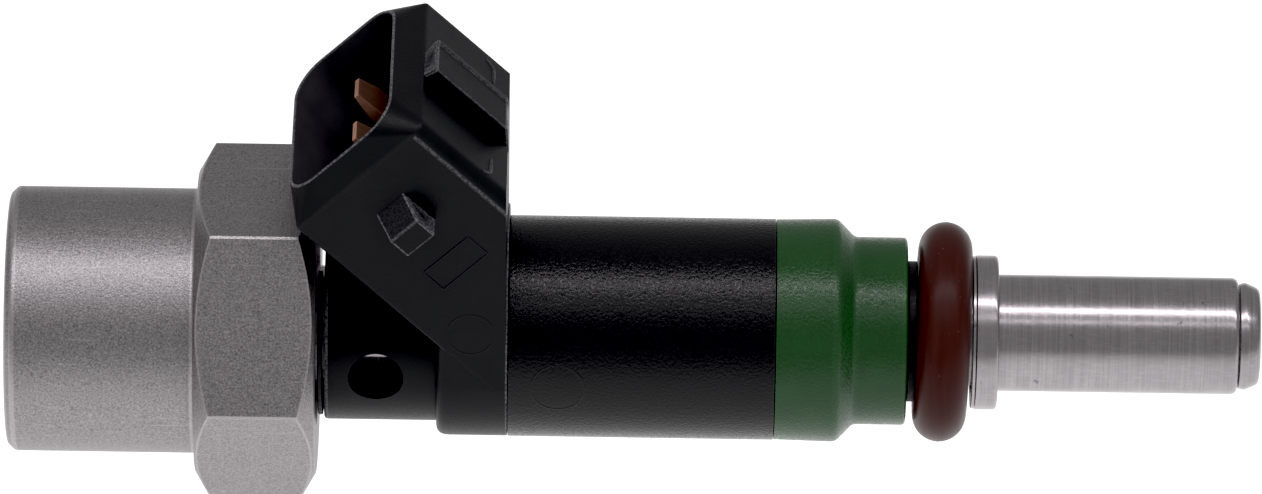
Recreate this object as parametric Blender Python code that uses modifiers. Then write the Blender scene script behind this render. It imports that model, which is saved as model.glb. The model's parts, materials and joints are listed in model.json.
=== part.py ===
"""Fuel injector with a slanted two-blade plug socket and a swivelling hexagonal inlet adapter.

The injector's axis is X, from the inlet at -X to the spray tip at +X, and the plug socket rises towards +Z.
The origin is on that axis, at the middle of the nozzle O-ring. Lengths along the axis are added up as
stations, counted from the adapter's open end, and every piece is placed from those stations.
"""

import math

import bmesh
import bpy
from mathutils import Matrix, Vector

MM = 0.001

# Clearances
GAP = 0.30 * MM  # between pieces that touch on the real object
SNUG = 0.15 * MM  # beside the thin rings of the two O-ring grooves
CLIP_PLAY = 0.11 * MM  # each side of the retaining clip

# Smoothness of round pieces
OUTER_SIDES = 64
INNER_SIDES = 32

# Inlet adapter
COLLAR_LENGTH = 12.45 * MM
COLLAR_RADIUS = 8.75 * MM
COLLAR_CHAMFER = 0.5 * MM
HEX_LENGTH = 7.95 * MM
HEX_ACROSS_FLATS = 20.5 * MM
HEX_FACE_INSET = 0.3 * MM  # how far the round end faces stop short of the flats
HEX_CHAMFER_ANGLE = math.radians(30)
HEX_TURN = math.radians(2.7)  # swivel angle at rest
THREAD_BORE_RADIUS = 6.19 * MM  # core radius of an M14 x 1.5 thread
THREAD_LEAD_IN = 0.8 * MM
HEX_SPARE = 0.01 * MM  # how far the chamfering blank stands outside the hexagon's corners
WEB_THICKNESS = 2.5 * MM
PASSAGE_RADIUS = 2.5 * MM
SEAL_CUP_RADIUS = 6.75 * MM
SEAL_CUP_DEPTH = 8.4 * MM

# Retaining clip
CLIP_THICKNESS = 0.3 * MM
CLIP_RADIUS = 6.1 * MM
CLIP_OPENING = math.radians(110)
CLIP_DIRECTION = math.radians(34)  # middle of its opening, from +Z towards +Y

# Fuel tube and inlet seal
FUEL_TUBE_RADIUS = 3.8 * MM
FUEL_TUBE_WALL = 0.7 * MM
FUEL_TUBE_SETBACK = 1.2 * MM  # from the floor of the seal cup
FUEL_TUBE_OVERLAP = 2.0 * MM  # how far it reaches into the barrel
BEAD_LENGTH = 1.0 * MM
BEAD_HEIGHT = 0.8 * MM
BACKING_RING_LENGTH = 1.3 * MM
FILTER_LENGTH = 10.0 * MM
FILTER_COLLAR_LENGTH = 1.6 * MM
FILTER_COLLAR_STEP = 0.3 * MM
FILTER_WALL = 0.5 * MM
FILTER_RIB = 0.9 * MM

# Connector housing
NECK_LENGTH = 7.4 * MM
NECK_RADIUS = 6.35 * MM
NECK_CHAMFER = 0.25 * MM
CROSS_HOLE_RADIUS = 1.8 * MM
CROSS_HOLE_SETBACK = 3.45 * MM  # from the neck's inlet end
RING_LENGTH = 4.56 * MM
RING_STEP = 0.02 * MM  # how far the ring lies inside the barrel
RING_CHAMFER = 0.6 * MM
LEAD_ROOM_STEP = 0.3 * MM  # how far the leads' room lies inside the sleeve's bore
LEAD_ROOM_DEPTH = 1.5 * MM

# Plug shroud, whose axis leans back over the inlet
PLUG_ANGLE = math.radians(45)
PLUG_FOOT = 1.08 * MM  # its lower wall reaches the injector's axis this far before the ring's end
PLUG_REACH = 25.42 * MM  # from where its axis crosses the injector's to the mouth
PLUG_SIDE_STEP = 0.07 * MM  # the side faces stand this far out from the ring
PLUG_THICKNESS = 11.54 * MM
PLUG_SIDE_WALL = 0.62 * MM
PLUG_FACE_WALL = 1.27 * MM
PLUG_RIM = 0.18 * MM
PLUG_BEVEL_LENGTH = 1.9 * MM
PLUG_SKIRT = 0.05 * MM  # how far its side faces go below the injector's axis
SOCKET_DEPTH = 8.7 * MM
SOCKET_CORNER = 2.2 * MM
RAIL_WIDTH = 3.4 * MM
RAIL_HEIGHT = 1.2 * MM
RAIL_SETBACK = 1.95 * MM
LATCH_SETBACK = 4.72 * MM
LATCH_RAMP = 1.35 * MM
LATCH_LAND = 1.6 * MM
LATCH_WIDTH = 2.5 * MM
LATCH_HEIGHT = 1.7 * MM

# Terminals
BLADE_WIDTH = 2.8 * MM
BLADE_THICKNESS = 0.8 * MM
BLADE_PITCH = 5.0 * MM
BLADE_SETBACK = 1.3 * MM
BLADE_TAPER_LENGTH = 1.6 * MM
BLADE_TIP_WIDTH = 2.0 * MM
BLADE_TIP_THICKNESS = 0.35 * MM
BLADE_ROOT = 1.0 * MM  # how far the full width goes under the socket's floor
TAIL_WIDTH = 1.6 * MM
TAIL_THICKNESS = 0.5 * MM
TAIL_DROP = 2.0 * MM  # from the socket's floor to the first bend
TAIL_LIFT = 0.55 * MM  # from the fuel tube to the tail

# Coil, from the valve body outwards
VALVE_BODY_STEP = 0.3 * MM  # how much thinner its neck is than the fuel tube
BOBBIN_WALL = 0.4 * MM
BOBBIN_FLANGE = 0.8 * MM
WINDING_DEPTH = 1.01 * MM
CAN_WALL = 0.5 * MM
CAN_FLOOR = 1.1 * MM
WASHER_THICKNESS = 1.2 * MM
COIL_SETBACK = 2.7 * MM  # from the barrel's inlet end to the coil can
SLEEVE_WALL = 0.7 * MM
BARREL_LENGTH = 17.28 * MM
BARREL_CHAMFER = 0.15 * MM

# Fixed and moving cores
POLE_LENGTH = 6.9 * MM
POLE_SPIGOT_LENGTH = 2.5 * MM
POLE_BORE_RADIUS = 1.9 * MM
ADJUSTER_SETBACK = 1.0 * MM
ADJUSTER_LENGTH = 4.1 * MM
ADJUSTER_WALL = 0.7 * MM
SHELL_RING_LENGTH = 3.7 * MM
SHELL_RING_WALL = 0.4 * MM
VALVE_BODY_WALL = 0.55 * MM
NEEDLE_LIFT = 0.1 * MM
ARMATURE_LENGTH = 5.0 * MM
SPRING_POCKET_DEPTH = 1.8 * MM
SPRING_RADIUS = 1.5 * MM
SPRING_WIRE = 0.45 * MM
SPRING_TURNS = 7
NEEDLE_RADIUS = 1.2 * MM
NEEDLE_WALL = 0.5 * MM
NEEDLE_INSERT = 1.2 * MM
NEEDLE_PORT_RADIUS = 0.4 * MM
NEEDLE_PORT_SETBACK = 4.0 * MM
BALL_RADIUS = 1.6 * MM

# Lower body and nozzle seal
LOWER_LARGE_LENGTH = 3.92 * MM
LOWER_START_STEP = 0.03 * MM  # inside the barrel's radius
LOWER_END_STEP = 0.07 * MM  # outside it
LOWER_CHAMFER_LENGTH = 1.15 * MM
LOWER_SMALL_STEP = 1.11 * MM  # from the barrel's radius down to the small end
LOWER_SMALL_LENGTH = 3.47 * MM
LOWER_END_CHAMFER = 0.3 * MM
SPACER_LENGTH = 0.55 * MM
SPACER_STEP = 0.85 * MM  # wall of the spacer ring
O_RING_SEAT_STEP = 0.26 * MM  # from the valve body's neck to the ring
O_RING_SECTION = 3.53 * MM
RETAINER_WALL = 1.1 * MM
RETAINER_LENGTH = 1.73 * MM
RETAINER_ROUND = 0.4 * MM

# Nozzle
NOZZLE_STEP = 0.35 * MM  # from the valve body's neck to the nozzle tube
NOZZLE_LENGTH = 15.72 * MM
NOZZLE_ROUND = 0.45 * MM
SEAT_LENGTH = 2.3 * MM
SEAT_HOLE_RADIUS = 0.8 * MM
GUIDE_LENGTH = 1.6 * MM
GUIDE_SETBACK = 0.4 * MM
GUIDE_HOLES = 4
GUIDE_HOLE_RADIUS = 0.35 * MM
PLATE_THICKNESS = 0.3 * MM
PLATE_HOLES = 4
PLATE_HOLE_RADIUS = 0.15 * MM
PLATE_HOLE_CIRCLE = 0.5 * MM
TIP_GAP = 0.2 * MM
TIP_LENGTH = 1.25 * MM
TIP_STEP = 0.315 * MM  # how much smaller the tip is than the nozzle tube
TIP_ROUND = 0.55 * MM
TIP_OPENING_RADIUS = 1.3 * MM

# Stations along the axis, from the adapter's open end
HEX_END = COLLAR_LENGTH + HEX_LENGTH
CLIP_START = HEX_END + CLIP_PLAY
CLIP_END = CLIP_START + CLIP_THICKNESS
NECK_START = CLIP_END + CLIP_PLAY
RING_START = NECK_START + NECK_LENGTH
RING_END = RING_START + RING_LENGTH
BARREL_START = RING_END + GAP
BARREL_END = BARREL_START + BARREL_LENGTH
LOWER_START = BARREL_END + GAP
LOWER_CHAMFER_START = LOWER_START + LOWER_LARGE_LENGTH
LOWER_SMALL_START = LOWER_CHAMFER_START + LOWER_CHAMFER_LENGTH
LOWER_END = LOWER_SMALL_START + LOWER_SMALL_LENGTH
SPACER_START = LOWER_END + SNUG
SPACER_END = SPACER_START + SPACER_LENGTH
CUP_FLOOR = HEX_END - SEAL_CUP_DEPTH
THREAD_DEPTH = CUP_FLOOR - WEB_THICKNESS
FUEL_TUBE_START = CUP_FLOOR + FUEL_TUBE_SETBACK
FUEL_TUBE_END = BARREL_START + FUEL_TUBE_OVERLAP
CAN_START = BARREL_START + COIL_SETBACK
CAN_END = BARREL_END - GAP
BOBBIN_START = CAN_START + WASHER_THICKNESS + GAP
BOBBIN_END = CAN_END - CAN_FLOOR - GAP
POLE_START = FUEL_TUBE_END + GAP
POLE_STEP = POLE_START + POLE_LENGTH
POLE_END = POLE_STEP + POLE_SPIGOT_LENGTH
SHELL_RING_START = POLE_STEP + GAP
VALVE_BODY_START = SHELL_RING_START + SHELL_RING_LENGTH + GAP
ADJUSTER_START = POLE_START + ADJUSTER_SETBACK
ADJUSTER_END = ADJUSTER_START + ADJUSTER_LENGTH
ARMATURE_START = POLE_END + NEEDLE_LIFT + GAP
ARMATURE_END = ARMATURE_START + ARMATURE_LENGTH

# Radii that fit one another
TUBE_BORE = FUEL_TUBE_RADIUS - FUEL_TUBE_WALL
HOUSING_BORE = FUEL_TUBE_RADIUS + GAP
VALVE_BODY_NECK_RADIUS = FUEL_TUBE_RADIUS - VALVE_BODY_STEP
NOZZLE_RADIUS = VALVE_BODY_NECK_RADIUS + NOZZLE_STEP
TIP_RADIUS = NOZZLE_RADIUS - TIP_STEP
O_RING_INNER_RADIUS = VALVE_BODY_NECK_RADIUS + O_RING_SEAT_STEP
RETAINER_BORE = NOZZLE_RADIUS + SNUG
RETAINER_RADIUS = RETAINER_BORE + RETAINER_WALL
BOBBIN_BORE = VALVE_BODY_NECK_RADIUS + GAP
SPOOL_RADIUS = BOBBIN_BORE + BOBBIN_WALL
WINDING_INNER = SPOOL_RADIUS + SNUG
WINDING_OUTER = WINDING_INNER + WINDING_DEPTH
CAN_BORE = WINDING_OUTER + GAP + SNUG
CAN_RADIUS = CAN_BORE + CAN_WALL
SLEEVE_BORE = CAN_RADIUS + GAP
BARREL_RADIUS = SLEEVE_BORE + SLEEVE_WALL
RING_RADIUS = BARREL_RADIUS - RING_STEP
LEAD_ROOM_RADIUS = SLEEVE_BORE - LEAD_ROOM_STEP
LOWER_RADIUS_START = BARREL_RADIUS - LOWER_START_STEP
LOWER_RADIUS_END = BARREL_RADIUS + LOWER_END_STEP
LOWER_SMALL_RADIUS = BARREL_RADIUS - LOWER_SMALL_STEP

# Nozzle O-ring: it lies against the spacer's rim and the retainer's face
SPACER_RADIUS = VALVE_BODY_NECK_RADIUS + GAP + SPACER_STEP
O_RING_MINOR = O_RING_SECTION / 2
O_RING_MAJOR = O_RING_INNER_RADIUS + O_RING_MINOR
O_RING_STATION = SPACER_END + SNUG + math.sqrt(O_RING_MINOR**2 - (O_RING_MAJOR - SPACER_RADIUS) ** 2)
RETAINER_START = O_RING_STATION + O_RING_MINOR + SNUG
RETAINER_END = RETAINER_START + RETAINER_LENGTH
NOZZLE_START = RETAINER_END + SNUG
NOZZLE_END = NOZZLE_START + NOZZLE_LENGTH
TIP_START = NOZZLE_END + TIP_GAP
TIP_END = TIP_START + TIP_LENGTH

# Valve, counted back from the nozzle's end
VALVE_BORE = VALVE_BODY_NECK_RADIUS - VALVE_BODY_WALL
PLATE_END = NOZZLE_END - SNUG
PLATE_START = PLATE_END - PLATE_THICKNESS
SEAT_END = PLATE_START - GAP
SEAT_START = SEAT_END - SEAT_LENGTH
BALL_STATION = SEAT_START - NEEDLE_LIFT
NEEDLE_END = BALL_STATION - BALL_RADIUS - GAP
NEEDLE_START = ARMATURE_END - NEEDLE_INSERT
GUIDE_END = NEEDLE_END - GUIDE_SETBACK
GUIDE_START = GUIDE_END - GUIDE_LENGTH

# Directions of the plug
PLUG_OUT = Vector((-math.cos(PLUG_ANGLE), 0, math.sin(PLUG_ANGLE)))
PLUG_ACROSS = Vector((math.sin(PLUG_ANGLE), 0, math.cos(PLUG_ANGLE)))
PLUG_HALF_WIDTH = RING_RADIUS + PLUG_SIDE_STEP
PLUG_HALF_THICKNESS = PLUG_THICKNESS / 2
PLUG_CROSSING = PLUG_HALF_THICKNESS / math.sin(PLUG_ANGLE) - PLUG_FOOT  # past the ring's end

# Colour, roughness and metallic value
FINISHES = {
    "blasted_steel": ((0.47, 0.46, 0.46), 0.5, 1.0),
    "black_spring_steel": ((0.03, 0.03, 0.03), 0.5, 0.6),
    "smooth_black_nylon": ((0.012, 0.012, 0.013), 0.35, 0.0),
    "grained_black_nylon": ((0.012, 0.012, 0.013), 0.5, 0.0),
    "green_nylon": ((0.025, 0.11, 0.035), 0.45, 0.0),
    "black_plastic": ((0.02, 0.02, 0.02), 0.5, 0.0),
    "brown_rubber": ((0.07, 0.02, 0.014), 0.35, 0.0),
    "turned_steel": ((0.62, 0.59, 0.55), 0.25, 1.0),
    "copper_alloy": ((0.45, 0.2, 0.12), 0.35, 1.0),
    "magnetic_steel": ((0.4, 0.4, 0.42), 0.35, 1.0),
    "black_rubber": ((0.02, 0.02, 0.02), 0.6, 0.0),
    "brown_nylon": ((0.2, 0.13, 0.07), 0.5, 0.0),
    "enamelled_wire": ((0.4, 0.15, 0.06), 0.35, 1.0),
}


def clear_scene():
    for old in list(bpy.data.objects):
        bpy.data.objects.remove(old, do_unlink=True)


def collection(name):
    made = bpy.data.collections.new(name)
    bpy.context.scene.collection.children.link(made)
    return made


def finish(name):
    """The named finish as a material, made the first time it is asked for."""
    if name in bpy.data.materials:
        return bpy.data.materials[name]
    colour, roughness, metallic = FINISHES[name]
    made = bpy.data.materials.new(name)
    made.use_nodes = True
    made.diffuse_color = (*colour, 1)
    shader = made.node_tree.nodes["Principled BSDF"]
    shader.inputs["Base Color"].default_value = (*colour, 1)
    shader.inputs["Roughness"].default_value = roughness
    shader.inputs["Metallic"].default_value = metallic
    return made


class Builder:
    """Puts each new object in the parts' collection, or in the cutters' if it has no finish."""

    def __init__(self):
        self.parts = collection("fuel_injector")
        self.cutters = collection("cutters")

    def add(self, name, mesh, finish_name=None):
        made = bpy.data.objects.new(name, mesh)
        if finish_name:
            mesh.materials.append(finish(finish_name))
            self.parts.objects.link(made)
        else:
            made.hide_render = True
            made.display_type = "WIRE"
            self.cutters.objects.link(made)
        return made

    def turned(self, name, outside, bore=None, finish_name=None, sides=OUTER_SIDES):
        """A piece turned about the X axis: outside and bore are (station, radius) points from inlet to nozzle."""
        loop = list(reversed(outside)) + list(bore or [])
        if not bore:
            loop = [(outside[-1][0], 0)] + loop + [(outside[0][0], 0)]
        mesh = bpy.data.meshes.new(name)
        ends = len(loop) if bore else len(loop) - 1
        edges = [(i, (i + 1) % len(loop)) for i in range(ends)]
        mesh.from_pydata([(at(station), 0, radius) for station, radius in loop], edges, [])
        made = self.add(name, mesh, finish_name)
        screw = made.modifiers.new("turn", "SCREW")
        screw.axis = "X"
        screw.steps = sides
        screw.render_steps = sides
        screw.use_merge_vertices = True
        screw.merge_threshold = 1e-6
        return made

    def hull(self, name, points, finish_name=None):
        """The flat-faced solid that the points span."""
        shape = bmesh.new()
        for point in points:
            shape.verts.new(point)
        bmesh.ops.convex_hull(shape, input=shape.verts)
        bmesh.ops.recalc_face_normals(shape, faces=shape.faces)
        mesh = bpy.data.meshes.new(name)
        shape.to_mesh(mesh)
        shape.free()
        return self.add(name, mesh, finish_name)

    def rod(self, name, radius, start, end, finish_name=None, sides=INNER_SIDES):
        """A plain cylinder between two points, with a flat rather than an edge on each main direction."""
        start, end = Vector(start), Vector(end)
        shape = bmesh.new()
        bmesh.ops.create_cone(
            shape,
            cap_ends=True,
            segments=sides,
            radius1=radius,
            radius2=radius,
            depth=(end - start).length,
            matrix=Matrix.Rotation(math.pi / sides, 4, "Z"),
        )
        mesh = bpy.data.meshes.new(name)
        shape.to_mesh(mesh)
        shape.free()
        made = self.add(name, mesh, finish_name)
        made.location = (start + end) / 2
        made.rotation_mode = "QUATERNION"
        made.rotation_quaternion = (end - start).to_track_quat("Z", "Y")
        return made

    def torus(self, name, major, minor, station, finish_name, sides, section_sides):
        bpy.ops.mesh.primitive_torus_add(
            major_radius=major,
            minor_radius=minor,
            major_segments=sides,
            minor_segments=section_sides,
            location=(at(station), 0, 0),
            rotation=(0, math.pi / 2, 0),
        )
        made = bpy.context.object
        made.name = name
        made.data.materials.append(finish(finish_name))
        for owner in list(made.users_collection):
            owner.objects.unlink(made)
        self.parts.objects.link(made)
        self.smooth(made)
        return made

    def strip(self, name, centre_line, thickness, width, y, finish_name=None):
        """A bent flat strip: centre_line is (x, z) points, and width runs along Y."""
        curve = bpy.data.curves.new(name, "CURVE")
        curve.dimensions = "2D"
        curve.fill_mode = "BOTH"
        curve.extrude = width / 2
        outline = offset_line(centre_line, thickness / 2)
        outline += list(reversed(offset_line(centre_line, -thickness / 2)))
        spline = curve.splines.new("POLY")
        spline.points.add(len(outline) - 1)
        for point, (x, z) in zip(spline.points, outline, strict=True):
            point.co = (x, z, 0, 1)
        spline.use_cyclic_u = True
        guide = bpy.data.objects.new(name + "_outline", curve)
        guide.rotation_euler.x = math.pi / 2
        guide.location.y = y
        return self.meshed(name, guide, finish_name)

    def meshed(self, name, guide, finish_name=None):
        """A mesh object made from a curve object, with its caps welded on."""
        self.cutters.objects.link(guide)
        bpy.context.view_layer.update()
        graph = bpy.context.evaluated_depsgraph_get()
        mesh = bpy.data.meshes.new_from_object(guide.evaluated_get(graph))
        mesh.name = name
        shape = bmesh.new()
        shape.from_mesh(mesh)
        bmesh.ops.remove_doubles(shape, verts=shape.verts, dist=1e-6)
        bmesh.ops.recalc_face_normals(shape, faces=shape.faces)
        shape.to_mesh(mesh)
        shape.free()
        made = self.add(name, mesh, finish_name)
        made.matrix_world = guide.matrix_world.copy()
        bpy.data.objects.remove(guide, do_unlink=True)
        return made

    def boolean(self, made, operation, *others):
        for other in others:
            step = made.modifiers.new(other.name, "BOOLEAN")
            step.operation = operation
            step.solver = "EXACT"
            step.object = other
        return made

    def cut(self, made, *others):
        return self.boolean(made, "DIFFERENCE", *others)

    def join(self, made, *others):
        return self.boolean(made, "UNION", *others)

    def smooth(self, made):
        made.data.shade_smooth()
        made.data.set_sharp_from_angle(angle=math.radians(35))


def at(station):
    """The world X of a station."""
    return station - O_RING_STATION


def offset_line(points, distance):
    """The (x, z) line moved sideways by distance, with mitred corners."""
    moved = []
    for i, (x, z) in enumerate(points):
        before = Vector(points[i]) - Vector(points[max(i - 1, 0)])
        after = Vector(points[min(i + 1, len(points) - 1)]) - Vector(points[i])
        before = before if before.length else after
        after = after if after.length else before
        side_a = Vector((-before.y, before.x)).normalized()
        side_b = Vector((-after.y, after.x)).normalized()
        mitre = (side_a + side_b).normalized()
        reach = distance / mitre.dot(side_a)
        moved.append((x + mitre.x * reach, z + mitre.y * reach))
    return moved


def rounded_end(end, radius, rounding, steps=5):
    """(station, radius) points of a quarter round at the nozzle side of a turned piece."""
    turns = [math.pi / 2 * i / steps for i in range(steps + 1)]
    return [
        (end - rounding * (1 - math.sin(turn)), radius - rounding * (1 - math.cos(turn))) for turn in turns
    ]


def plug_point(depth, across, y):
    """A point in the plug: depth below its mouth, across its thickness, and y along the width."""
    crossing = Vector((at(RING_END) + PLUG_CROSSING, 0, 0))
    return crossing + (PLUG_REACH - depth) * PLUG_OUT + across * PLUG_ACROSS + Vector((0, y, 0))


def at_ring_end(across, y):
    """The point where the plug's line at that place across its thickness reaches the plane of the ring's end."""
    x = at(RING_END)
    depth = (x - plug_point(0, across, 0).x) / -PLUG_OUT.x
    return Vector((x, y, plug_point(depth, across, 0).z))


def at_skirt(across, y):
    """The point where that line comes down to the skirt's height."""
    depth = (plug_point(0, across, 0).z + PLUG_SKIRT) / PLUG_OUT.z
    return Vector((plug_point(depth, across, 0).x, y, -PLUG_SKIRT))


def rounded_oblong(tall, wide, corner, steps=4):
    """(across, y) points of a rectangle of those half sizes with rounded corners."""
    turns = [math.pi / 2 * i / steps for i in range(steps + 1)]
    quarter = [
        (tall - corner * (1 - math.sin(turn)), wide - corner * (1 - math.cos(turn))) for turn in turns
    ]
    return [(a * across, b * y) for across, y in quarter for a in (-1, 1) for b in (-1, 1)]


def both_sides(points):
    """The (depth, across, y) points in world space, at y and at -y."""
    return [plug_point(depth, across, side * y) for depth, across, y in points for side in (-1, 1)]


def inlet_adapter(make):
    face_radius = HEX_ACROSS_FLATS / 2 - HEX_FACE_INSET
    corner_radius = HEX_ACROSS_FLATS / math.sqrt(3)
    chamfer = (corner_radius - face_radius) * math.tan(HEX_CHAMFER_ANGLE)
    adapter = make.turned(
        "inlet_adapter",
        [(COLLAR_LENGTH, corner_radius), (HEX_END, corner_radius)],
        finish_name="blasted_steel",
        sides=6,
    )
    adapter.rotation_euler.x = math.radians(30) - HEX_TURN
    blank = make.turned(
        "hex_blank",
        [
            (COLLAR_LENGTH, face_radius),
            (COLLAR_LENGTH + chamfer, corner_radius + HEX_SPARE),
            (HEX_END - chamfer, corner_radius + HEX_SPARE),
            (HEX_END, face_radius),
        ],
    )
    collar = make.turned(
        "collar",
        [
            (0, COLLAR_RADIUS - COLLAR_CHAMFER),
            (COLLAR_CHAMFER, COLLAR_RADIUS),
            (COLLAR_LENGTH + MM, COLLAR_RADIUS),
        ],
    )
    bores = make.turned(
        "adapter_bores",
        [
            (-THREAD_LEAD_IN, THREAD_BORE_RADIUS + 2 * THREAD_LEAD_IN),
            (THREAD_LEAD_IN, THREAD_BORE_RADIUS),
            (THREAD_DEPTH, THREAD_BORE_RADIUS),
            (THREAD_DEPTH, PASSAGE_RADIUS),
            (CUP_FLOOR, PASSAGE_RADIUS),
            (CUP_FLOOR, SEAL_CUP_RADIUS),
            (HEX_END + MM, SEAL_CUP_RADIUS),
        ],
    )
    make.boolean(adapter, "INTERSECT", blank)
    make.join(adapter, collar)
    return make.cut(adapter, bores)


def retaining_clip(make):
    """A flat ring with an opening cut as a wedge from the axis."""
    clip = make.turned(
        "retaining_clip",
        [(CLIP_START, CLIP_RADIUS), (CLIP_END, CLIP_RADIUS)],
        [(CLIP_START, HOUSING_BORE), (CLIP_END, HOUSING_BORE)],
        "black_spring_steel",
    )
    reach = 2 * CLIP_RADIUS
    wedge = [(0, 0)]
    for turn in (-CLIP_OPENING / 2, 0, CLIP_OPENING / 2):
        angle = CLIP_DIRECTION + turn
        wedge.append((reach * math.sin(angle), reach * math.cos(angle)))
    opening = make.hull(
        "clip_opening",
        [(x, y, z) for x in (at(CLIP_START - GAP), at(CLIP_END + GAP)) for y, z in wedge],
    )
    return make.cut(clip, opening)


def fuel_tube(make):
    bead_radius = FUEL_TUBE_RADIUS + BEAD_HEIGHT
    return make.turned(
        "fuel_tube",
        [
            (FUEL_TUBE_START, bead_radius),
            (FUEL_TUBE_START + BEAD_LENGTH, bead_radius),
            (FUEL_TUBE_START + BEAD_LENGTH, FUEL_TUBE_RADIUS),
            (FUEL_TUBE_END, FUEL_TUBE_RADIUS),
        ],
        [(FUEL_TUBE_START, TUBE_BORE), (FUEL_TUBE_END, TUBE_BORE)],
        "turned_steel",
        INNER_SIDES,
    )


def inlet_seal(make):
    """The O-ring in the adapter's cup and the ring behind it."""
    inner = FUEL_TUBE_RADIUS + SNUG
    outer = SEAL_CUP_RADIUS - SNUG
    section = (outer - inner) / 2
    station = FUEL_TUBE_START + BEAD_LENGTH + SNUG + section
    make.torus("inlet_o_ring", inner + section, section, station, "black_rubber", INNER_SIDES, 12)
    start = station + section + SNUG
    end = start + BACKING_RING_LENGTH
    make.turned(
        "backing_ring",
        [(start, outer), (end, outer)],
        [(start, inner), (end, inner)],
        "brown_nylon",
        INNER_SIDES,
    )


def inlet_filter(make):
    """A basket in the tube's mouth: open at the inlet, closed at the far end, with four windows."""
    collar_radius = TUBE_BORE - SNUG
    basket_radius = collar_radius - FILTER_COLLAR_STEP
    start = FUEL_TUBE_START + SNUG
    shoulder = start + FILTER_COLLAR_LENGTH
    end = start + FILTER_LENGTH
    basket = make.turned(
        "inlet_filter",
        [(start, collar_radius), (shoulder, collar_radius), (shoulder, basket_radius), (end, basket_radius)],
        finish_name="brown_nylon",
        sides=INNER_SIDES,
    )
    hollow = make.turned(
        "filter_hollow",
        [(start - MM, basket_radius - FILTER_WALL), (end - FILTER_WALL, basket_radius - FILTER_WALL)],
        sides=INNER_SIDES,
    )
    half = basket_radius / 2
    low, high = shoulder + FILTER_RIB, end - FILTER_RIB
    windows = [
        make.hull(
            f"filter_windows_{name}",
            [(x, y * wide, z * tall) for x in (at(low), at(high)) for y in (-1, 1) for z in (-1, 1)],
        )
        for name, wide, tall in (("side", 2 * basket_radius, half), ("top", half, 2 * basket_radius))
    ]
    return make.cut(basket, hollow, *windows)


def housing_cutters(make):
    """The bore, the room for the leads, the cross hole and the socket of the connector housing."""
    bore = make.turned(
        "housing_bore",
        [
            (NECK_START - MM, HOUSING_BORE),
            (RING_END - LEAD_ROOM_DEPTH, HOUSING_BORE),
            (RING_END - LEAD_ROOM_DEPTH, LEAD_ROOM_RADIUS),
            (RING_END + MM, LEAD_ROOM_RADIUS),
        ],
    )
    hole_x = at(NECK_START + CROSS_HOLE_SETBACK)
    cross_hole = make.rod(
        "cross_hole", CROSS_HOLE_RADIUS, (hole_x, -2 * NECK_RADIUS, 0), (hole_x, 2 * NECK_RADIUS, 0)
    )
    wide = PLUG_HALF_WIDTH - PLUG_SIDE_WALL
    tall = PLUG_HALF_THICKNESS - PLUG_FACE_WALL
    outline = rounded_oblong(tall, wide, SOCKET_CORNER)
    socket = make.hull(
        "socket", [plug_point(depth, across, y) for depth in (-MM, SOCKET_DEPTH) for across, y in outline]
    )
    return bore, cross_hole, socket


def shroud(make):
    """The plug's outside: a slanted block with a bevelled mouth, cut off level with the ring and at the skirt."""
    wide, tall = PLUG_HALF_WIDTH, PLUG_HALF_THICKNESS
    rim = rounded_oblong(
        tall - PLUG_FACE_WALL + PLUG_RIM, wide - PLUG_SIDE_WALL + PLUG_RIM, SOCKET_CORNER + PLUG_RIM
    )
    points = [plug_point(0, across, y) for across, y in rim]
    points += both_sides([(PLUG_BEVEL_LENGTH, tall, wide), (PLUG_BEVEL_LENGTH, -tall, wide)])
    for y in (-wide, wide):
        points += [at_ring_end(tall, y), at_skirt(-tall, y), (at(RING_END), y, -PLUG_SKIRT)]
    return make.hull("shroud", points)


def rail(make):
    """The raised key along the middle of the shroud's upper face."""
    wide, low = RAIL_WIDTH / 2, PLUG_HALF_THICKNESS - MM
    top = PLUG_HALF_THICKNESS + RAIL_HEIGHT
    points = both_sides([(RAIL_SETBACK, low, wide), (RAIL_SETBACK, top, wide)])
    points += [at_ring_end(across, y) for across in (low, top) for y in (-wide, wide)]
    return make.hull("rail", points)


def latch(make, side):
    """A ramp that the plug's wire clip climbs and drops behind."""
    wide = LATCH_WIDTH / 2
    sink = PLUG_SIDE_WALL / 2
    low = PLUG_HALF_WIDTH - sink
    top = PLUG_HALF_WIDTH + LATCH_HEIGHT
    start = LATCH_SETBACK - sink * LATCH_RAMP / LATCH_HEIGHT
    land = LATCH_SETBACK + LATCH_RAMP
    end = land + LATCH_LAND
    points = [
        plug_point(depth, across, side * y)
        for across in (-wide, wide)
        for depth, y in ((start, low), (land, top), (end, top), (end, low))
    ]
    return make.hull(f"latch_{'left' if side < 0 else 'right'}", points)


def tail_line():
    """The (x, z) points of a terminal's tail: under the socket, down, and along the axis to the coil."""
    start = plug_point(SOCKET_DEPTH + BLADE_ROOT / 2, 0, 0)
    bend = plug_point(SOCKET_DEPTH + TAIL_DROP, 0, 0)
    height = FUEL_TUBE_RADIUS + TAIL_LIFT + TAIL_THICKNESS / 2 + GAP
    return [(start.x, start.z), (bend.x, bend.z), (bend.x, height), (at(BOBBIN_START) - GAP, height)]


def blade_points(clearance=0.0):
    """Corners of a terminal's blade about Y = 0, as (depth, across, y)."""
    wide, thick = BLADE_WIDTH / 2 + clearance, BLADE_THICKNESS / 2 + clearance
    root = SOCKET_DEPTH + BLADE_ROOT + clearance
    tip = BLADE_SETBACK
    sections = (
        (root, wide, thick),
        (tip + BLADE_TAPER_LENGTH, wide, thick),
        (tip, BLADE_TIP_WIDTH / 2 + clearance, BLADE_TIP_THICKNESS / 2 + clearance),
    )
    return [(depth, a * t, b * w) for depth, w, t in sections for a in (-1, 1) for b in (-1, 1)]


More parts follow.
